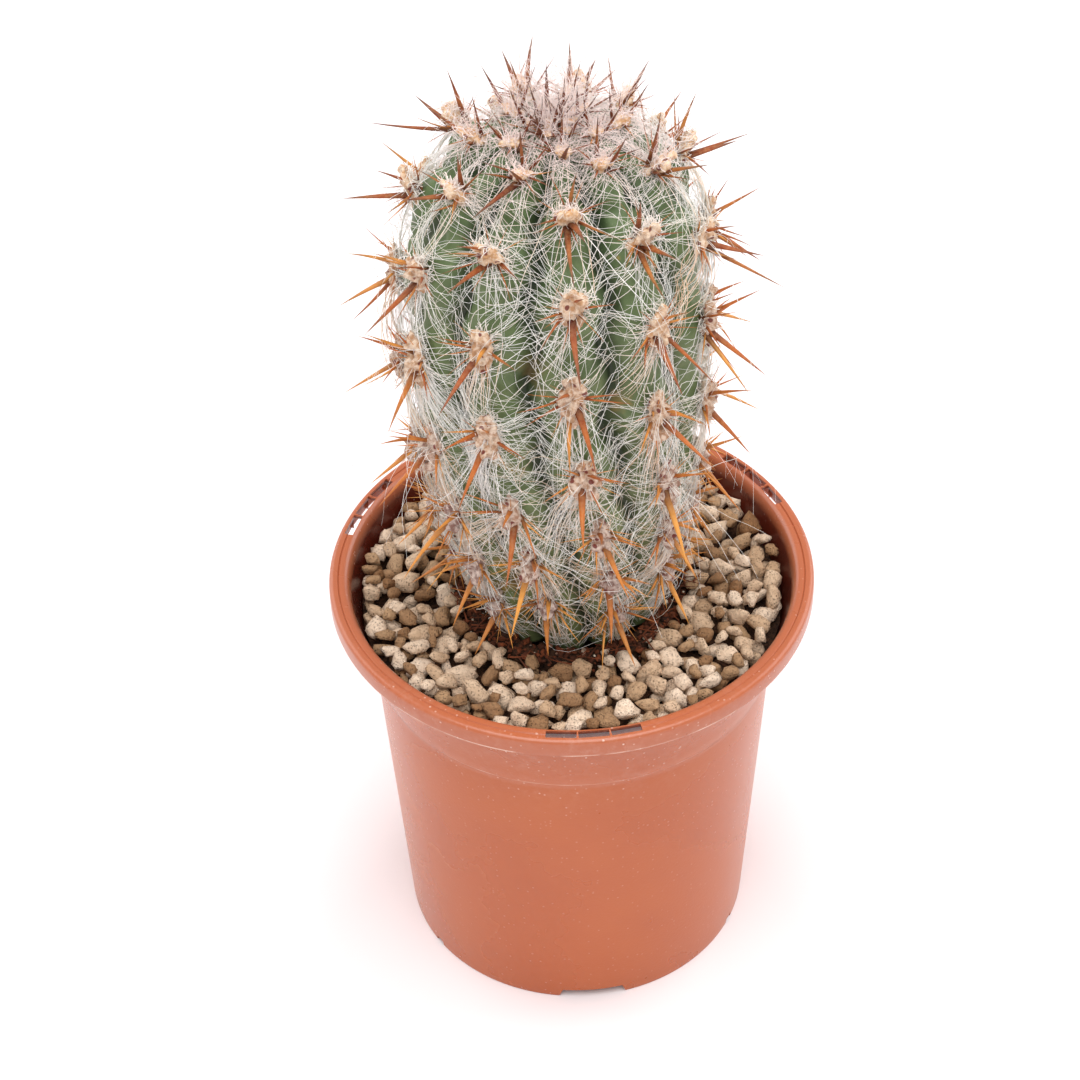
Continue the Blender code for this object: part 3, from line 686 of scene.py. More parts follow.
def makeLitter():
    sizes = litterSizes
    draw = random.Random(sizes["seed"])
    tip = sizes["tip"]
    lumps = []
    for _ in range(sizes["crumbs"]):
        size = between(sizes["crumbSize"], draw.random() ** 2)
        reach = between((sizes["inner"], sizes["outer"]), draw.random())
        angle = draw.uniform(0, 2 * math.pi)
        drop = sizes["drop"] * fade((reach - sizes["edge"]) / sizes["edgeRun"])
        level = sizes["level"] + draw.uniform(0, sizes["heap"]) - drop
        shape = (size, size * draw.uniform(*sizes["width"]), size * draw.uniform(*sizes["thickness"]))
        turn = (draw.uniform(-tip, tip), draw.uniform(-tip, tip), draw.uniform(0, sizes["spin"]))
        lumps.append(((reach * math.sin(angle), -reach * math.cos(angle), level), shape, turn, draw.random()))
    litter = lumpPoints("litter", lumps)
    runTree(litter, crumbs, {"Material": dryLitter, "Roundness": 0.6, "Relief": 1.2, "Sides": 3})
    finishPiece(litter, "growing_mix")


makeLitter()


# Pumice: stones dropped one by one onto the bed, each where it comes to rest lowest

pumiceSizes = {
    "inner": 0.0400, "outer": 0.0757, "floor": 0.1436, "highest": 0.1543, "wallGap": 0.0004,
    "count": 900, "tries": 44, "half": (0.0030, 0.0064), "skew": 1.35, "brown": 0.24, "brownSize": 0.80,
    "seed": 21, "width": (0.56, 0.88), "thickness": (0.50, 0.74), "squash": 0.80, "tip": 0.5, "spin": 6.28,
    # how much of its half length a stone claims from its neighbours, the wall and the stem's ring
    "claim": 0.92, "wallClaim": 0.95, "ringClaim": 0.6,
    "brownTint": (0, 0.34), "paleTint": (0.36, 1),
}


def dropStones():
    sizes = pumiceSizes
    draw = random.Random(sizes["seed"])
    stones = []
    centres = np.zeros((0, 3))
    reaches = np.zeros(0)
    for _ in range(sizes["count"]):
        brown = draw.random() < sizes["brown"]
        half = between(sizes["half"], draw.random() ** sizes["skew"]) * (sizes["brownSize"] if brown else 1.0)
        wide = draw.uniform(*sizes["width"])
        thick = draw.uniform(*sizes["thickness"])
        reach = half * (1 + wide) / 2 * sizes["claim"]
        inner = sizes["inner"] + half * sizes["ringClaim"]
        outer = sizes["outer"] - half * sizes["wallClaim"] - sizes["wallGap"]
        best = None
        for _ in range(sizes["tries"]):
            radius = math.sqrt(draw.uniform(inner ** 2, outer ** 2))
            angle = draw.uniform(0, 2 * math.pi)
            spot = np.array([radius * math.cos(angle), radius * math.sin(angle)])
            height = sizes["floor"] + half * thick
            if len(centres):
                touch = (reaches + reach) ** 2 - ((centres[:, :2] - spot) ** 2).sum(1)
                over = touch > 0
                if over.any():
                    rest = centres[over, 2] + sizes["squash"] * np.sqrt(touch[over])
                    height = max(height, float(rest.max()))
            if best is None or height < best[2]:
                best = (spot[0], spot[1], height)
        if best[2] + half * thick > sizes["highest"]:
            continue
        centres = np.vstack([centres, best])
        reaches = np.append(reaches, reach)
        tips = [draw.uniform(-1, 1) * sizes["tip"] for _ in range(2)]
        turn = (*tips, draw.uniform(0, sizes["spin"]))
        tint = draw.uniform(*sizes["brownTint" if brown else "paleTint"])
        stones.append((best, (half, half * wide, half * thick), turn, tint))
    print("stones kept", len(stones))
    return stones


def makePumice():
    heap = lumpPoints("pumiceStones", dropStones())
    runTree(heap, crumbs, {"Material": pumice, "Roundness": 0.95, "Relief": 1.5, "Relief Scale": 1.15,
                           "Flats": 0.62, "Sides": 4})
    finishPiece(heap, "pumice", "gravel")


makePumice()


# Stem: the same outline, ribs and areoles as the CAD solid, from the same rule

stemRule = {
    "top": 0.343, "domeBase": 0.284, "domePower": 2.5, "belly": 0.264, "radius": 0.0495,
    "soilLevel": 0.150, "soilRadius": 0.0312, "soilCurve": 1.85,
    "neck": ((0.0292, 0.1440), (0.0150, 0.1265), (0.0085, 0.1040)),
    "bow": 0.0034, "bowLength": 0.235, "samples": 80, "reach": 0.003,
    "ribs": 11, "facing": 5.4, "depth": 0.0088, "roundness": 2.2, "crownFade": 0.034,
    "oldStart": 0.11, "oldReach": 0.09, "oldLoss": 0.45, "neckFade": 0.012,
    "twistStart": 0.262, "twist": 200.0,
    "tubercle": 0.0026, "tubercleCrest": 0.7, "tubercleFade": 0.03, "chin": 0.08,
    "areoleGaps": (0.005, 0.017, 0.026, 0.031, 0.035, 0.033, 0.025, 0.022, 0.019),
    "areoleShift": 5 / 11, "firstAreole": 0.51, "lowestAreole": 0.206, "highestAreole": 0.003,
    "padHeight": 0.0020,
}


def stemOutline():
    rule = stemRule
    rises = np.sin(np.linspace(math.pi / 2, 0, rule["samples"])) ** (2 / rule["domePower"])
    heights = list(rule["domeBase"] + (rule["top"] - rule["domeBase"]) * rises)
    heights += list(np.linspace(rule["domeBase"], rule["soilLevel"], rule["samples"])[1:])
    radii = []
    for height in heights:
        if height > rule["domeBase"]:
            rise = min(1.0, (height - rule["domeBase"]) / (rule["top"] - rule["domeBase"]))
            radii.append(rule["radius"] * (1 - rise ** rule["domePower"]) ** (1 / rule["domePower"]))
        else:
            drop = max(0.0, rule["belly"] - height) / (rule["belly"] - rule["soilLevel"])
            radii.append(between((rule["radius"], rule["soilRadius"]), drop ** rule["soilCurve"]))
    radii += [radius for radius, _ in rule["neck"]]
    heights += [height for _, height in rule["neck"]]
    steps = np.hypot(np.diff(radii), np.diff(heights))
    return np.concatenate([[0.0], np.cumsum(steps)]), np.array(radii), np.array(heights)


outline = stemOutline()
soilDistance = float(np.interp(-stemRule["soilLevel"], -outline[2], outline[0]))
areoleMarks = np.cumsum(stemRule["areoleGaps"])


def outlineAt(distance):
    return np.interp(distance, outline[0], outline[1]), np.interp(distance, outline[0], outline[2])


def outlineFrame(distance):
    # (radius, height) there, the outward normal and the downward direction, each as (out, up)
    distance = np.asarray(distance, float)
    radius, height = outlineAt(distance)
    upper = outlineAt(np.maximum(0.0, distance - stemRule["reach"]))
    lower = outlineAt(distance + stemRule["reach"])
    run = np.stack([lower[0] - upper[0], lower[1] - upper[1]])
    run = run / np.linalg.norm(run, axis=0)
    crown = distance < stemRule["reach"]
    downOut = np.where(crown, 1.0, run[0])
    downUp = np.where(crown, 0.0, run[1])
    return radius, height, (-downUp, downOut), (downOut, downUp)


def ribPhase(rib):
    return (stemRule["firstAreole"] + rib * stemRule["areoleShift"]) % 1.0


def ribBeat(distance, rib):
    # 1 where this rib swells below an areole, -1 halfway to the next
    passed = np.interp(distance, areoleMarks, np.arange(len(areoleMarks)))
    return np.cos(2 * math.pi * (passed - ribPhase(rib % stemRule["ribs"]) - stemRule["chin"]))


def twistAt(height):
    return stemRule["twist"] * np.maximum(0.0, stemRule["twistStart"] - np.maximum(height, stemRule["soilLevel"]))


def surfaceAngle(turn, height):
    return np.radians(stemRule["facing"] + turn * 360 / stemRule["ribs"] + twistAt(height))


def turnOf(angle, height):
    return (np.degrees(angle) - stemRule["facing"] - twistAt(height)) * stemRule["ribs"] / 360


def grooveDepth(distance):
    rule = stemRule
    loss = rule["oldLoss"] * fade((distance - rule["oldStart"]) / rule["oldReach"])
    buried = fade((distance - soilDistance) / rule["neckFade"])
    return rule["depth"] * fade(distance / rule["crownFade"]) * (1 - loss) * (1 - buried)


def grooveAt(distance, across):
    return grooveDepth(distance) * across ** stemRule["roundness"]


def tubercleEnds(distance):
    return fade(distance / stemRule["tubercleFade"]) * fade((soilDistance - distance) / stemRule["neckFade"])


def tubercleDip(distance, rib, across):
    dip = stemRule["tubercle"] * (1 - ribBeat(distance, rib)) / 2
    return dip * (1 - across) ** stemRule["tubercleCrest"] * tubercleEnds(distance)


def placeOn(distance, angle, offset):
    # A point off the crest outline by this much, at this angle round the stem
    radius, height, normal, _ = outlineFrame(distance)
    radius = radius + normal[0] * offset
    height = height + normal[1] * offset
    bow = -stemRule["bow"] * np.sin(
        math.pi * np.maximum(0.0, height - stemRule["soilLevel"]) / stemRule["bowLength"])
    return np.stack([bow + radius * np.sin(angle), -radius * np.cos(angle), height], -1)


def findAreoles():
    # Each is a dictionary of its distance from the crown, rib, place and three directions
    rule = stemRule
    marks = np.concatenate([[0.0], areoleMarks])
    found = []
    for rib in range(rule["ribs"]):
        for step in range(-1, len(areoleMarks)):
            distance = float(np.interp(step + ribPhase(rib), range(-1, len(areoleMarks)), marks))
            if not rule["highestAreole"] < distance < rule["lowestAreole"]:
                continue
            _, height, normal, down = outlineFrame(distance)
            angle = float(surfaceAngle(rib, height))
            out = Vector((math.sin(angle), -math.cos(angle), 0.0))
            outward = out * float(normal[0]) + Vector((0.0, 0.0, float(normal[1])))
            downward = out * float(down[0]) + Vector((0.0, 0.0, float(down[1])))
            offset = rule["padHeight"] - tubercleDip(distance, rib, 0.0)
            place = placeOn(distance, surfaceAngle(rib, height + normal[1] * offset), offset)
            found.append({"distance": distance, "angle": angle, "place": Vector(place),
                          "outward": outward, "downward": downward, "sideways": outward.cross(downward)})
    return found


areoles = findAreoles()
print("areoles", len(areoles))

skinSizes = {
    "columnsPerRib": 17, "rows": 210, "lastRow": 0.004, "cleftDepth": 0.0016, "cleftSharpness": 9.0,
    "notchDepth": 0.0013, "notchSharpness": 7.0, "zigzag": 0.05, "cleftShadeFade": 0.02,
    "waver": 0.00035, "waves": ((17.0, 410.0, 0.0), (9.0, -630.0, 2.0)),
}


def makeSkin():
    sizes = skinSizes
    columns = stemRule["ribs"] * sizes["columnsPerRib"]
    rows = np.linspace(0.0, soilDistance + sizes["lastRow"], sizes["rows"] + 1)[1:]
    distance, column = np.meshgrid(rows, np.arange(columns), indexing="ij")
    turn = column / sizes["columnsPerRib"]
    rib = np.round(turn)
    across = 2 * np.abs(turn - rib)
    side = np.sign(turn - rib)
    beat = ribBeat(distance, rib)
    otherBeat = ribBeat(distance, rib + np.where(side < 0, -1, 1))
    ends = tubercleEnds(distance)
    # the groove swings from side to side, round the swelling of each tubercle
    swing = sizes["zigzag"] * (beat - otherBeat) * across ** 2 * side * ends
    cleft = grooveDepth(distance) / stemRule["depth"] * sizes["cleftDepth"] * across ** sizes["cleftSharpness"]
    notch = np.clip((1 - beat) / 2, 0, 1) ** sizes["notchSharpness"] * (1 - across ** 3) * ends
    waver = sizes["waver"] * sum(np.sin(turn * around + distance * down + start)
                                 for around, down, start in sizes["waves"])
    offset = (-grooveAt(distance, across) - cleft - tubercleDip(distance, rib, across)
              - sizes["notchDepth"] * notch + waver * ends)
    _, height, normal, _ = outlineFrame(distance)
    points = placeOn(distance, surfaceAngle(turn + swing, height + normal[1] * offset), offset)
    count = len(rows) * columns
    points = np.vstack([points.reshape(-1, 3), [0.0, 0.0, stemRule["top"]], points[-1].mean(0)])
    corner = np.arange(count).reshape(len(rows), columns)
    nextColumn = np.roll(corner, -1, axis=1)
    faces = np.stack([corner[:-1], corner[1:], nextColumn[1:], nextColumn[:-1]], -1).reshape(-1, 4).tolist()
    faces += [(count, int(corner[0, k]), int(nextColumn[0, k])) for k in range(columns)]
    faces += [(count + 1, int(nextColumn[-1, k]), int(corner[-1, k])) for k in range(columns)]
    skin = meshObject("stemSkin", points.tolist(), faces=faces)
    # the last two values are those of the crown's and the foot's middle point
    shade = across * fade(distance / sizes["cleftShadeFade"])
    storeNumbers(skin.data, "cleft", [*shade.ravel(), 0, 0])
    storeNumbers(skin.data, "age", [*fade(distance / soilDistance).ravel(), 0, 1])
    skin.data.shade_smooth()
    skin.data.materials.append(skinGreen)
    finishPiece(skin, "cactus", "cactus")


makeSkin()


# Areoles: a woolly pad on each, then short curled fibres all over the pads

padSizes = {
    "marks": (0.0, 0.02, 0.045, 0.10, 0.16, 0.21),
    "length": (0.0015, 0.0042, 0.0078, 0.0092, 0.0078, 0.0048),
    "width": (0.0014, 0.0028, 0.0041, 0.0042, 0.0036, 0.0027), "fullWidth": 0.0040, "scatter": (0.88, 1.14),
    "height": 0.0014, "fullLength": 0.005, "raise": 0.0001, "ageScatter": 0.1, "fibreTint": 0.35, "seed": 8,
}

padLooks = {"Lobes": 0.0058, "Lobe Scale": 310.0, "Curls": 0.0013, "Curl Scale": 1500.0, "Calm Top": 0.75}
fibreLooks = {"Density": 880000.0, "Length": 0.0030, "Girth": 0.00013, "Seed": padSizes["seed"]}


def padTree():
    # A low ball on each areole, pushed out in lobes and covered with small curls
    tree, given = geometryTree("woolly pads", padLooks)
    ball = addNode(tree, "GeometryNodeMeshIcoSphere", {"Radius": 1.0, "Subdivisions": 4})
    corner = addNode(tree, "GeometryNodeInputPosition").outputs[0]
    height = addNode(tree, "ShaderNodeSeparateXYZ", {"Vector": corner}).outputs["Z"]
    marked = addNode(tree, "GeometryNodeStoreNamedAttribute", {
        "Geometry": ball.outputs[0], "Name": "upper", "Value": height}, data_type="FLOAT")
    placed = addNode(tree, "GeometryNodeInstanceOnPoints", {
        "Points": given["Geometry"], "Instance": marked.outputs[0], "Rotation": readTurn(tree, "turn"),
        "Scale": readVector(tree, "size")})
    real = addNode(tree, "GeometryNodeRealizeInstances", {"Geometry": placed.outputs[0]})
    parts = []
    for strength, scale in (("Lobes", "Lobe Scale"), ("Curls", "Curl Scale")):
        noise = addNode(tree, "ShaderNodeTexNoise", {"Scale": given[scale], "Detail": 1.0})
        parts.append(times(tree, mathNode(tree, "SUBTRACT", noise.outputs["Fac"], 0.47), given[strength]))
    # the rim is pushed about more than the top, which stays low
    calm = mathNode(tree, "SUBTRACT", 1.0, times(tree, readNumber(tree, "upper"), given["Calm Top"]))
    push = times(tree, mathNode(tree, "ADD", *parts), calm, readNumber(tree, "bulk"))
    outwards = vectorMath(tree, "SCALE", addNode(tree, "GeometryNodeInputNormal").outputs[0], scale=push)
    shaped = addNode(tree, "GeometryNodeSetPosition", {"Geometry": real.outputs[0], "Offset": outwards})
    return closeTree(tree, shaped.outputs[0], given["Material"])


def woolTree():
    # Curled fibres that stand on the upper side of the pads, each tilted, spun and sized by chance
    tree, given = geometryTree("curled fibres", fibreLooks)
    spread = addNode(tree, "GeometryNodeDistributePointsOnFaces", {
        "Mesh": given["Geometry"], "Density": given["Density"], "Seed": given["Seed"],
        "Selection": mathNode(tree, "GREATER_THAN", readNumber(tree, "upper"), -0.05)})
    bend = addNode(tree, "GeometryNodeCurveQuadraticBezier", {
        "Resolution": 2, "Start": (0.0, 0.0, -0.1), "Middle": (0.0, 0.1, 0.75), "End": (0.45, 0.35, 0.9)})
    ring = addNode(tree, "GeometryNodeCurvePrimitiveCircle", {"Resolution": 3, "Radius": 1.0})
    thin = addNode(tree, "GeometryNodeCurveToMesh", {
        "Curve": bend.outputs[0], "Profile Curve": ring.outputs[0],
        "Scale": mathNode(tree, "DIVIDE", given["Girth"], given["Length"]), "Fill Caps": True})
    tilt = addNode(tree, "FunctionNodeRandomValue", {
        0: (-1.35, -1.35, -3.1), 1: (1.35, 1.35, 3.1), "Seed": given["Seed"]}, data_type="FLOAT_VECTOR")
    tilted = addNode(tree, "FunctionNodeRotateRotation", {
        "Rotation": spread.outputs["Rotation"],
        "Rotate By": addNode(tree, "FunctionNodeEulerToRotation", {"Euler": tilt.outputs[0]}).outputs[0]},
        rotation_space="LOCAL")
    grow = addNode(tree, "FunctionNodeRandomValue", {2: 0.55, 3: 1.35, "Seed": given["Seed"]}, data_type="FLOAT")
    placed = addNode(tree, "GeometryNodeInstanceOnPoints", {
        "Points": spread.outputs["Points"], "Instance": thin.outputs[0], "Rotation": tilted.outputs[0],
        "Scale": times(tree, grow.outputs[1], given["Length"])})
    return closeTree(tree, placed.outputs[0], given["Material"])


def makePads():
    sizes = padSizes
    draw = random.Random(sizes["seed"])
    places, scales, turns, ages = [], [], [], []
    for spot in areoles:
        basis = Matrix((spot["sideways"], spot["downward"], spot["outward"])).transposed()
        length, width = [
            float(np.interp(spot["distance"], sizes["marks"], sizes[label])) * draw.uniform(*sizes["scatter"])
            for label in ("length", "width")]
        places.append(spot["place"] + spot["outward"] * sizes["raise"])
        scales.append((width, length, sizes["height"] * min(1.0, length / sizes["fullLength"])))
        turns.append(basis.to_euler())
        ages.append(min(1.0, spot["distance"] / soilDistance
                        + draw.uniform(-sizes["ageScatter"], sizes["ageScatter"])))
    pads = meshObject("areolePads", places)
    storeVectors(pads.data, "size", scales)
    storeVectors(pads.data, "turn", turns)
    storeNumbers(pads.data, "bulk", [scale[0] / sizes["fullWidth"] for scale in scales])
    storeNumbers(pads.data, "age", ages)
    storeNumbers(pads.data, "tint", [sizes["fibreTint"]] * len(places))
    runTree(pads, padTree(), {**padLooks, "Material": wool})
    fibres = addObject("areoleWool", pads.data.copy())
    runTree(fibres, woolTree(), {**fibreLooks, "Material": whiteHair})
    finishPiece(pads, "cactus", "cactus")
    finishPiece(fibres, "cactus", "cactus")


makePads()


# Spines: those of the CAD solid, slightly curved and flattened, with finer ones round them

spineRule = {
    "seed": 400, "root": 0.0024, "start": 0.0027, "aging": 0.09, "tiltSpread": 13,
    "mainRadius": 0.00135, "mainScatter": (0.85, 1.12), "mainTilts": (16, 38), "mainTurn": 30,
    "mainLengths": ((0.0, 0.040, 0.075, 0.115, 0.160, 0.200), (0.0125, 0.018, 0.022, 0.0255, 0.024, 0.018)),
    "upperRadius": 0.0010, "upperScatter": (0.8, 1.15), "upperTilts": (20, 30), "upperTurn": 50,
    "upperLengths": ((0.0, 0.030, 0.080, 0.200), (0.0105, 0.016, 0.018, 0.012)),
    "radialRadius": 0.00062, "radialLengths": (0.0085, 0.0125), "radialScatter": (0.8, 1.25),
    "radialTilts": (52, 76), "radialTurns": (90.0, 270.0), "radialSpread": 20,
    "clearance": 0.1562, "bendStep": 0.08,
}

# Along a spine: powers of its taper, size and reach of its swollen base
spineForm = {"taper": (1.25, 0.9), "swell": 0.25, "swellReach": 0.12, "thinnest": 0.00004, "flatness": 0.62}

boldSizes = {
    "points": 9, "sides": 8, "bend": 0.09, "sag": (-1.7, 0.3), "sagSize": 0.10, "girth": 1.1,
    "youngGirth": ((0.01, 0.04), (0.62, 1.0)),
}

fineSizes = {
    "seed": 900, "points": 6, "sides": 5, "bend": 0.12, "start": (0.0024, 0.0052), "turnScatter": (0.1, 0.9),
    "tint": (0.2, 1.0), "oldAge": 0.68, "smallReach": 0.02,
    "longReach": (0.020, 0.110), "youngAge": 0.12, "youngLength": 0.75,
    # count, half widths, lengths, tilts, half the fan they spread over, and how much paler they are than their age
    "middle": ((1, 3), (0.00050, 0.00078), (0.0100, 0.0170), (34, 72), 180, 0.0),
    "young": ((6, 9), (0.00026, 0.00042), (0.0060, 0.0120), (58, 84), 180, 0.25),
    "old": ((11, 16), (0.00026, 0.00042), (0.0060, 0.0120), (30, 82), 180, 0.25),
    "long": ((0, 1), (0.0010, 0.0013), (0.0200, 0.0290), (26, 62), 60, 0.0),
}


def wantedSpines(distance, draw):
    # (tilt, turn, length, radius) of each spine that the CAD solid has here
    rule = spineRule
    age = float(fade(distance / rule["aging"]))
    mainLength, upperLength = [
        float(np.interp(distance, *rule[kind + "Lengths"])) * draw.uniform(*rule[kind + "Scatter"])
        for kind in ("main", "upper")]
    wanted = []
    for kind, facing, length in (("main", 0, mainLength), ("upper", 180, upperLength)):
        tilt = between(rule[kind + "Tilts"], age) + draw.uniform(-1, 1) * rule["tiltSpread"]
        wanted.append((tilt, facing + draw.uniform(-1, 1) * rule[kind + "Turn"], length, rule[kind + "Radius"]))
    for turn in rule["radialTurns"]:
        length = between(rule["radialLengths"], age) * draw.uniform(*rule["radialScatter"])
        tilt = draw.uniform(*rule["radialTilts"])
        wanted.append((tilt, turn + draw.uniform(-1, 1) * rule["radialSpread"], length, rule["radialRadius"]))
    return wanted


def aimSpine(spot, tilt, turn, length, start):
    # (first point, direction), bent up where the tip would reach the pumice
    side = spot["downward"] * math.cos(math.radians(turn)) + spot["sideways"] * math.sin(math.radians(turn))
    direction = spot["outward"] * math.cos(math.radians(tilt)) + side * math.sin(math.radians(tilt))
    foot = spot["place"] + side * start
    while (foot + direction * length).z < spineRule["clearance"]:
        direction = (direction + Vector((0.0, 0.0, spineRule["bendStep"]))).normalized()
    return foot, direction


def spinePath(foot, direction, length, radius, points, bend):
    # A tapered, slightly bent path: the base swells a little where it leaves the wool
    share = np.linspace(0.0, 1.0, points)
    sag = Vector(bend) - direction * Vector(bend).dot(direction)
    reach = spineRule["root"] + length
    start = foot - direction * spineRule["root"]
    path = [start + direction * (reach * step) + sag * (length * step * step) for step in share]
    form = spineForm
    girth = radius * (1 - share ** form["taper"][0]) ** form["taper"][1]
    girth = girth * (1 + form["swell"] * np.exp(-(share / form["swellReach"]) ** 2))
    return np.array(path), np.maximum(girth, form["thinnest"]), share


def makeSpines():
    bold, fine = boldSizes, fineSizes
    boldPaths, finePaths = [], []
    for index, spot in enumerate(areoles):
        distance = spot["distance"]
        age = distance / soilDistance
        draw = random.Random(fine["seed"] + index)
        for tilt, turn, length, radius in wantedSpines(distance, random.Random(spineRule["seed"] + index)):
            foot, direction = aimSpine(spot, tilt, turn, length, spineRule["start"])
            bend = [draw.uniform(-1, 1) * bold["bend"] for _ in range(2)]
            bend.append(draw.uniform(*bold["sag"]) * bold["sagSize"])
            wide = radius * bold["girth"] * float(np.interp(distance, *bold["youngGirth"]))
            path = spinePath(foot, direction, length, wide, bold["points"], bend)
            boldPaths.append((*path, age, draw.random()))
        kinds = ["middle", "old" if age > fine["oldAge"] else "young"]
        counts = [draw.randint(*fine[kind][0]) for kind in kinds]
        if fine["longReach"][0] < distance < fine["longReach"][1]:
            kinds.append("long")
            counts.append(draw.randint(*fine["long"][0]))
        for kind, count in zip(kinds, counts):
            _, girths, lengths, tilts, fan, paler = fine[kind]
            count = count // 3 if distance < fine["smallReach"] else count
            for step in range(count):
                turn = ((step + draw.uniform(*fine["turnScatter"])) / count * 2 - 1) * fan
                tilt = draw.uniform(*tilts)
                length = between(lengths, draw.random())
                length *= fine["youngLength"] if age < fine["youngAge"] and kind != "long" else 1.0
                foot, direction = aimSpine(spot, tilt, turn, length, draw.uniform(*fine["start"]))
                bend = [draw.uniform(-1, 1) * fine["bend"] for _ in range(3)]
                path = spinePath(foot, direction, length, draw.uniform(*girths), fine["points"], bend)
                finePaths.append((*path, min(1.0, age + paler), between(fine["tint"], draw.random())))
    for name, group, sides in (("boldSpines", boldPaths, bold["sides"]), ("fineSpines", finePaths, fine["sides"])):
        paths, girths, alongs, ages, tints = [np.array(values) for values in zip(*group)]
        makeThreads(name, "cactus", ["cactus"], paths, girths,
                    {"Sides": sides, "Flatness": spineForm["flatness"], "Material": spineHorn},
                    along=alongs, age=ages[:, None], tint=tints[:, None])


makeSpines()


# Hair: long curling threads that start in the wool and lie over the ribs, and looser ones round them

hairSizes = {
    "points": 15, "girth": (0.00007, 0.00013), "tip": 0.45, "drift": 0.0024,
    "memberTurn": 0.24, "memberCurl": 16.0, "pull": 8.0, "wave": 0.0036, "waveScale": 58.0,
    "lift": 0.0007, "liftScatter": (0.5, 1.3), "liftNoise": 0.0004, "wildShare": 0.10, "wildLift": (0.0015, 0.0055),
    "lockSink": (0.62, 1.0), "sinkNoise": 0.12, "lockReach": (0.7, 1.3), "reachScatter": (0.75, 1.2),
    "tint": (0.0, 0.4), "tintNoise": 0.08, "lowest": 0.0004, "clear": 0.0008, "arch": 0.88,
    "length": ((0.0, 0.04, 0.10, 0.21), (0.024, 0.042, 0.050, 0.044)),
    # hair stays this far inside the stem's top and foot, and one that is cut short keeps this share
    "topLimit": 0.004, "footLimit": 0.0015, "shortest": 0.12, "startRadius": 0.006, "turnRadius": 0.012,
    # how fast, from its root, a hair clears the skin, sinks into the grooves and starts to wave
    "clearing": 5, "sinking": 4, "waving": 1.5,
}


lockWays = {
    # degrees off the way down the rib, curls, and whether they curl onwards or back
    "wide": ((55, 125), (5, 90), -1), "steep": ((15, 60), (10, 80), 1), "rise": ((120, 175), (5, 80), -1),
    "wideShare": 0.55, "brush": (38, -2.0), "strayCurl": 75,
    # spread of the heading, in radians, and of the curl, for hair that falls straight
    "fall": (0.34, 10), "drop": (0.42, 6),
}


def groupHeading(kind, draw):
    # (heading, curl) of a lock: 0 runs down the rib, a right angle runs level round the stem
    ways = lockWays
    if kind == "brush":
        return math.radians(ways[kind][0]), ways[kind][1]
    side = draw.choice([-1, 1])
    if kind == "stray":
        return draw.uniform(-math.pi, math.pi), draw.normal(0, ways["strayCurl"])
    if kind in ("fall", "drop"):
        return draw.normal(0, ways[kind][0]), draw.normal(0, ways[kind][1])
    if kind == "sweep":
        kind = "wide" if draw.random() < ways["wideShare"] else "steep"
    degrees, curls, sense = ways[kind]
    return side * math.radians(draw.uniform(*degrees)), side * sense * draw.uniform(*curls)


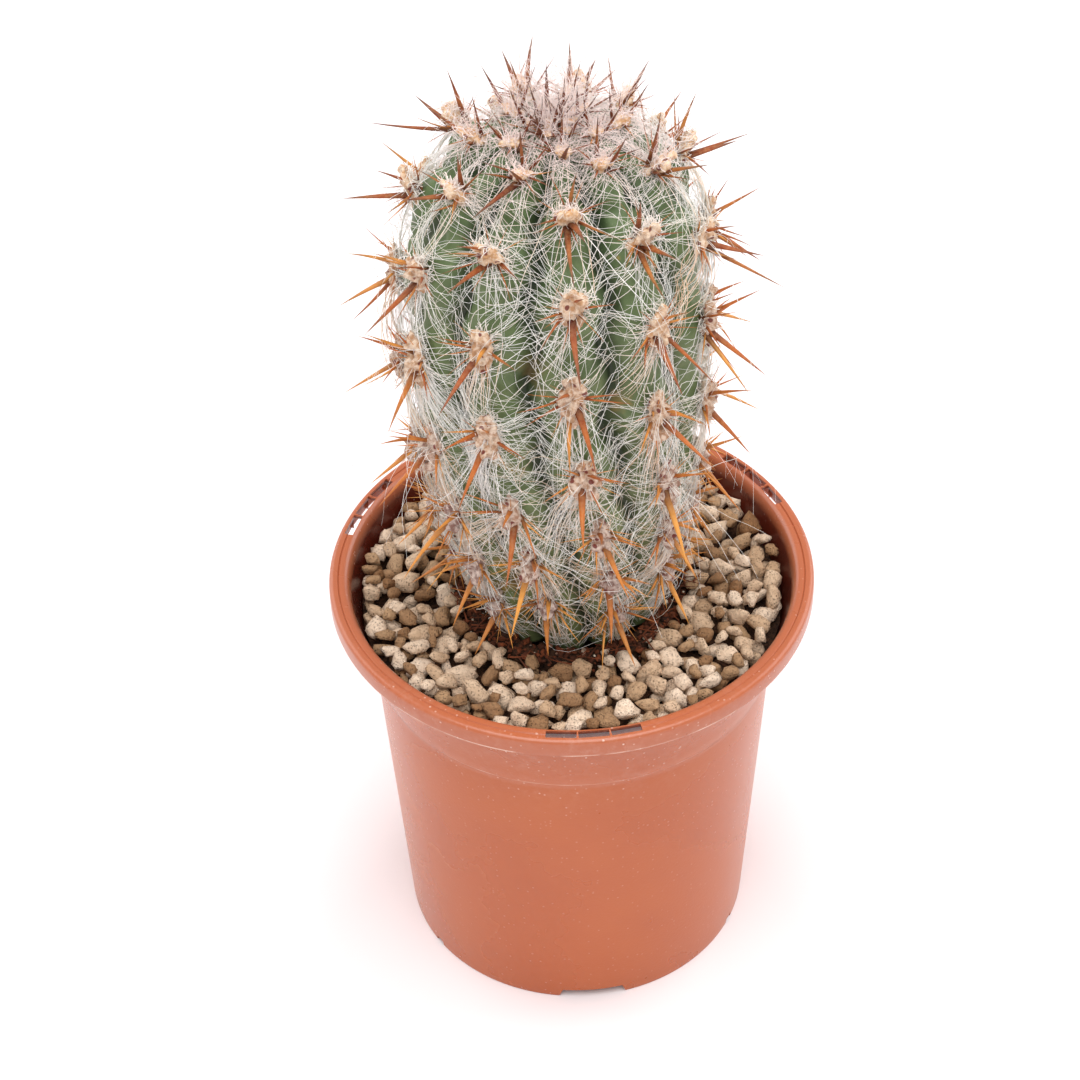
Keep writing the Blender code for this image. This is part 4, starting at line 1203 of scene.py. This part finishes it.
def growLocks(name, locks, seed, **changes):
    # Locks of near-parallel hair: locks is a list of (areole, kind, hairs in it), changes are to hairSizes
    sizes = {**hairSizes, **changes}
    draw = np.random.default_rng(seed)
    hairs = []
    for number, kind, bunch in locks:
        way, bend = groupHeading(kind, draw)
        lockLift = draw.exponential(sizes["lift"])
        lockSink, lockReach, lockTint = [draw.uniform(*sizes[label]) for label in ("lockSink", "lockReach", "tint")]
        for _ in range(max(1, draw.poisson(bunch))):
            heading = way + draw.normal(0, sizes["memberTurn"])
            curl = bend + draw.normal(0, sizes["memberCurl"])
            if draw.random() < sizes["wildShare"]:
                lift = draw.uniform(*sizes["wildLift"])
            else:
                lift = max(0.0, lockLift * draw.uniform(*sizes["liftScatter"]) + draw.normal(0, sizes["liftNoise"]))
            sink = min(1.0, max(0.0, lockSink + draw.normal(0, sizes["sinkNoise"])))
            reach = lockReach * draw.uniform(*sizes["reachScatter"])
            tint = min(1.0, max(0.0, lockTint + draw.normal(0, sizes["tintNoise"])))
            spot = areoles[number]
            hairs.append((spot["distance"], spot["angle"], heading, curl, lift, sink, reach, tint))
    first, firstAngle, heading, curl, lift, sink, reach, tints = np.array(hairs).T
    count, steps = len(hairs), sizes["points"]
    fullLength = np.interp(first, *sizes["length"]) * reach
    firstDistance = first + draw.normal(0, sizes["drift"], count)
    around = np.maximum(outlineAt(firstDistance)[0], sizes["startRadius"])
    firstAngle = firstAngle + draw.normal(0, sizes["drift"], count) / around
    top, foot = sizes["topLimit"], soilDistance - sizes["footLimit"]

    def lay(length):
        distance, angle, way = firstDistance.clip(top, foot), firstAngle.copy(), heading.copy()
        paths = np.zeros((count, steps, 3))
        room = np.ones(count)
        stride = length / (steps - 1)
        for step in range(steps):
            share = step / (steps - 1)
            turn = turnOf(angle, outlineAt(distance)[1])
            across = 2 * np.abs(turn - np.round(turn))
            rise = sizes["lowest"] + sizes["clear"] * fade(share * sizes["clearing"])
            rise = rise + lift * math.sin(math.pi * sizes["arch"] * share)
            dip = sink * fade(share * sizes["sinking"]) * grooveAt(distance, across)
            paths[:, step] = placeOn(distance, angle, rise - dip)
            way = way + (curl - sizes["pull"] * np.sin(way)) * stride
            distance = distance + stride * np.cos(way)
            angle = angle + stride * np.sin(way) / np.maximum(outlineAt(distance)[0], sizes["turnRadius"])
            outside = (distance < top) | (distance > foot)
            room = np.where(outside, np.minimum(room, max(share, sizes["shortest"])), room)
            distance = distance.clip(top, foot)
        return paths, room

    # a hair that would run off the stem's top or foot is cut short there
    _, room = lay(fullLength)
    paths, _ = lay(fullLength * room)
    share = np.linspace(0, 1, steps)
    girths = draw.uniform(*sizes["girth"], count)[:, None] * (1 - (1 - sizes["tip"]) * share ** 2)
    makeThreads(name, "cactus", ["cactus"], paths, girths,
                {"Sides": 3, "Wave": sizes["wave"], "Wave Scale": sizes["waveScale"], "Material": whiteHair},
                seed, fade(share * sizes["waving"]), tint=tints[:, None])


lockSizes = {
    # how many locks of each kind an areole grows, by its distance from the crown
    "marks": (0.0, 0.03, 0.07, 0.12, 0.16, 0.21),
    "sweep": (2.2, 3.4, 2.7, 2.4, 1.6, 1.0),
    "rise": (0.3, 0.9, 1.1, 0.8, 0.6, 0.4),
    "fall": (0.4, 1.0, 1.7, 3.0, 3.6, 2.8),
    "stray": (5.0, 7.0, 6.0, 7.0, 8.0, 6.0),
    "bunch": 3.6, "seed": 31, "upperEnd": 0.07, "middleEnd": 0.125,
    # the side, in degrees from the front, where the top of the stem is more hairy
    "denseSide": (10.0, 125.0), "denseReach": 0.062, "denseShare": 1.6,
}


def makeHair():
    sizes = lockSizes
    draw = np.random.default_rng(sizes["seed"])
    groups = {"upperHair": [], "middleHair": [], "lowerHair": []}
    for number, spot in enumerate(areoles):
        distance = spot["distance"]
        name = ("upperHair" if distance < sizes["upperEnd"]
                else "middleHair" if distance < sizes["middleEnd"] else "lowerHair")
        facing = (math.degrees(spot["angle"]) + 180) % 360 - 180
        dense = distance < sizes["denseReach"] and sizes["denseSide"][0] < facing < sizes["denseSide"][1]
        for kind in ("sweep", "rise", "fall", "stray"):
            wanted = float(np.interp(distance, sizes["marks"], sizes[kind]))
            wanted *= sizes["denseShare"] if dense else 1.0
            bunch = 0.0 if kind == "stray" else sizes["bunch"]
            groups[name] += [(number, kind, bunch)] * draw.poisson(wanted)
    growLocks("upperHair", groups["upperHair"], sizes["seed"])
    growLocks("middleHair", groups["middleHair"], sizes["seed"] + 1)
    growLocks("lowerHair", groups["lowerHair"], sizes["seed"] + 2, tint=(0.0, 1.0), pull=4.0)


makeHair()

# Each of these has its seed, its locks by distance from the crown, and what it changes in hairSizes

brushSizes = {
    "seed": 36, "areole": 76, "hairs": 40,
    "growth": {"tint": (0.0, 0.1), "lift": 0.003, "drift": 0.0026, "wave": 0.0012, "pull": 0.0, "wildShare": 0.0,
               "memberTurn": 0.06, "memberCurl": 3.0, "length": ((0.0, 0.21), (0.040, 0.040))},
}

strandSizes = {
    "seed": 51, "falls": ((0.0, 0.04, 0.08, 0.21), (0.0, 7.0, 20.0, 26.0)),
    "growth": {"points": 9, "tint": (0.1, 0.95), "girth": (0.00011, 0.00020), "lift": 0.0010, "wave": 0.0018,
               "memberTurn": 0.12, "memberCurl": 4.0, "length": ((0.0, 0.10, 0.21), (0.026, 0.034, 0.026)),
               "wildShare": 0.0},
}

dropSizes = {
    "seed": 71, "locks": ((0.0, 0.035, 0.07, 0.12, 0.17, 0.21), (0.0, 1.0, 3.2, 5.0, 4.0, 2.0)), "bunch": 2.2,
    "growth": {"points": 11, "tint": (0.0, 0.15), "girth": (0.00009, 0.00015), "lift": 0.0016, "wave": 0.0012,
               "pull": 0.0, "memberTurn": 0.16, "memberCurl": 5.0, "wildShare": 0.0,
               "length": ((0.0, 0.10, 0.21), (0.050, 0.064, 0.050))},
}


def makeLongHair():
    # One thick, straight lock that has slipped across the ribs on the left
    growLocks("brushLock", [(brushSizes["areole"], "brush", brushSizes["hairs"])], brushSizes["seed"],
              **brushSizes["growth"])
    # Creamy strands that hang from each pad down its rib to the next
    locks = [(number, "fall", float(np.interp(spot["distance"], *strandSizes["falls"])))
             for number, spot in enumerate(areoles)]
    growLocks("hairStrands", [lock for lock in locks if lock[2] > 1], strandSizes["seed"], **strandSizes["growth"])
    # Long straight white hairs that hang down over the lower ribs
    draw = np.random.default_rng(dropSizes["seed"])
    locks = []
    for number, spot in enumerate(areoles):
        wanted = float(np.interp(spot["distance"], *dropSizes["locks"]))
        locks += [(number, "drop", dropSizes["bunch"])] * draw.poisson(wanted)
    growLocks("longHair", locks, dropSizes["seed"], **dropSizes["growth"])


makeLongHair()

wispSizes = {
    "seed": 61, "points": 11, "girth": (0.00006, 0.0001), "wave": 0.0035, "waveScale": 90.0,
    "tufts": 420, "tuftReach": 0.034, "tuftLength": (0.008, 0.027), "tuftCone": 0.81, "tuftSwerve": 0.45,
    "tuftStart": 0.0012, "tuftTint": (0.15, 0.6), "tuftOut": 0.5, "tuftUp": 0.9, "tuftLean": 0.8,
    "wisps": 340, "wispReach": (0.03, 0.15), "wispLength": (0.010, 0.036), "wispLean": (0.3, 1.6),
    "wispSwerve": 0.55, "wispFall": 0.55, "wispTint": (0.0, 0.4),
    # long ones that stand out from the sides and hang down
    "drapes": 0.45, "drapeSide": 0.03, "drapeLength": (0.022, 0.046), "drapeLean": 0.35, "drapeSwerve": 0.3,
    "drapeFall": 1.3, "drapeReturn": 0.45,
    "highest": 0.376, "topSlope": 0.15, "widest": 0.081, "lowest": 0.166, "taper": 0.6,
}


def makeWisps():
    # Fine hairs in the air: an upright tuft on the crown, and stray ones all round the stem
    sizes = wispSizes
    draw = np.random.default_rng(sizes["seed"])
    share = np.linspace(0, 1, sizes["points"])
    paths, tints = [], []
    up = Vector((0, 0, 1))

    def curve(start, way, swerve, length):
        return np.array([start + way * (length * t) + swerve * (length * t * t) for t in share])

    crown = [spot for spot in areoles if spot["distance"] < sizes["tuftReach"]]
    for _ in range(sizes["tufts"]):
        spot = crown[draw.integers(len(crown))]
        lean = Vector(draw.normal(0, sizes["tuftCone"], 3))
        way = (spot["outward"] * sizes["tuftOut"] + up * sizes["tuftUp"]
               + lean * sizes["tuftLean"]).normalized()
        swerve = Vector(draw.normal(0, sizes["tuftSwerve"], 3))
        length = draw.uniform(*sizes["tuftLength"])
        start = spot["place"] + Vector(draw.normal(0, sizes["tuftStart"], 3))
        paths.append(curve(start, way, swerve, length))
        tints.append(draw.uniform(*sizes["tuftTint"]))
    sides = [spot for spot in areoles if sizes["wispReach"][0] < spot["distance"] < sizes["wispReach"][1]]
    for _ in range(sizes["wisps"]):
        spot = sides[draw.integers(len(sides))]
        spin = draw.uniform(0, 2 * math.pi)
        side = spot["downward"] * math.cos(spin) + spot["sideways"] * math.sin(spin)
        way = (spot["outward"] + side * draw.uniform(*sizes["wispLean"])).normalized()
        length = draw.uniform(*sizes["wispLength"])
        swerve = Vector(draw.normal(0, sizes["wispSwerve"], 3)) - up * sizes["wispFall"]
        if draw.random() < sizes["drapes"] and abs(spot["place"].x) > sizes["drapeSide"]:
            way = (spot["outward"] + Vector(draw.normal(0, sizes["drapeLean"], 3))).normalized()
            length = draw.uniform(*sizes["drapeLength"])
            swerve = Vector(draw.normal(0, sizes["drapeSwerve"], 3))
            swerve = swerve - up * sizes["drapeFall"] - way * sizes["drapeReturn"]
        path = curve(spot["place"], way, swerve, length)
        if path[:, 2].min() < sizes["lowest"]:
            continue
        paths.append(path)
        tints.append(draw.uniform(*sizes["wispTint"]))
    # none stands out past the pot's width or far above the crown
    paths = np.array(paths)
    top = sizes["highest"]
    paths[:, :, 2] = np.minimum(paths[:, :, 2], top - sizes["topSlope"] * np.maximum(0, top - paths[:, :1, 2]))
    far = np.hypot(paths[:, :, 0], paths[:, :, 1])
    paths[:, :, :2] *= np.minimum(1.0, sizes["widest"] / np.maximum(far, 1e-6))[:, :, None]
    girths = draw.uniform(*sizes["girth"], len(paths))[:, None] * (1 - sizes["taper"] * share ** 2)
    makeThreads("looseHair", "cactus", ["cactus"], paths, girths,
                {"Sides": 3, "Wave": sizes["wave"], "Wave Scale": sizes["waveScale"], "Material": whiteHair},
                sizes["seed"], share, tint=np.array(tints)[:, None])


makeWisps()


# Dead spines and twigs on the litter and the nearest stones

fallenSizes = {
    "seed": 5, "points": 5, "level": 0.1508, "climb": 0.0022, "scatter": 0.001, "rise": (-0.08, 0.12), "bend": 0.06,
    # count, lengths, half width, and how far out they lie
    "spines": (46, (0.006, 0.013), 0.00045, (0.034, 0.046)),
    "twigs": (150, (0.003, 0.009), 0.00025, (0.034, 0.041)),
    "taper": 0.85, "tint": (0.3, 0.9),
}


def makeFallen():
    sizes = fallenSizes
    draw = np.random.default_rng(sizes["seed"])
    share = np.linspace(0, 1, sizes["points"])
    along = share[:, None]
    paths, girths, tints = [], [], []
    for count, lengths, girth, reaches in (sizes["spines"], sizes["twigs"]):
        for _ in range(count):
            length = draw.uniform(*lengths)
            angle = draw.uniform(0, 2 * math.pi)
            reach = draw.uniform(*reaches)
            spin = draw.uniform(0, 2 * math.pi)
            climb = sizes["climb"] * fade((reach - litterSizes["edge"]) / litterSizes["edgeRun"])
            level = sizes["level"] + climb + draw.uniform(0, sizes["scatter"])
            middle = np.array([reach * math.sin(angle), -reach * math.cos(angle), level])
            way = np.array([math.cos(spin), math.sin(spin), draw.uniform(*sizes["rise"])])
            bend = draw.normal(0, sizes["bend"], 3) * length
            paths.append(middle + way * length * (along - 0.5) + bend * (along * (1 - along)))
            girths.append(girth * (1 - sizes["taper"] * share))
            tints.append(draw.uniform(*sizes["tint"]))
    makeThreads("fallenSpines", "growing_mix", [], np.array(paths), np.array(girths),
                {"Sides": 4, "Flatness": 0.7, "Material": dryLitter}, tint=np.array(tints)[:, None])


makeFallen()


# Floor, light and camera

studio = {
    "floorSize": 12.0, "world": 0.45, "air": (1.0, 0.99, 0.985, 1.0),
    # (place, spread in degrees, strength) of each light: the main one, then one behind on each side
    "suns": (((0.05, -0.75, 2.3), 62.0, 2.85), ((-1.7, 1.3, 1.3), 50.0, 1.1), ((1.7, 1.1, 1.3), 50.0, 1.3)),
}

cameraView = {
    "place": (0.0, -0.7728, 0.8717), "lens": 100.0, "sensor": 36.0, "nearest": 0.05,
    # degrees round each axis, in turn: yaw, 90 less the pitch of 42.18, and roll
    "turns": ((0.79, "Z"), (47.82, "X"), (-1.61, "Z")),
}


def makeStudio():
    half = studio["floorSize"] / 2
    floor = meshObject("floor", [(-half, -half, 0), (half, -half, 0), (half, half, 0), (-half, half, 0)],
                       faces=[(0, 1, 2, 3)])
    tree, _, place, paper = startMaterial("pale floor", 0.6, 0.2)
    finishMaterial(paper, coat(tree, (236, 228, 229), mottle(tree, place, 3.0, 0.3, 0.7), (240, 233, 234)))
    floor.data.materials.append(paper)
    world = bpy.data.worlds.new("studio")
    world.use_nodes = True
    world.node_tree.nodes["Background"].inputs["Color"].default_value = studio["air"]
    world.node_tree.nodes["Background"].inputs["Strength"].default_value = studio["world"]
    bpy.context.scene.world = world
    for place, spread, power in studio["suns"]:
        lamp = bpy.data.lights.new("soft daylight", "SUN")
        lamp.angle = math.radians(spread)
        lamp.energy = power
        sun = addObject("soft daylight", lamp)
        sun.location = place
        sun.rotation_euler = (-Vector(place)).to_track_quat("-Z", "Y").to_euler()
    bpy.context.scene.view_settings.view_transform = "Standard"


def makeCamera():
    lens = bpy.data.cameras.new("camera")
    lens.sensor_width = cameraView["sensor"]
    lens.lens = cameraView["lens"]
    lens.clip_start = cameraView["nearest"]
    camera = addObject("camera", lens)
    pose = Matrix.Translation(cameraView["place"])
    for degrees, axis in cameraView["turns"]:
        pose = pose @ Matrix.Rotation(math.radians(degrees), 4, axis)
    camera.matrix_world = pose
    bpy.context.scene.camera = camera


makeStudio()
makeCamera()
print("studio ready")
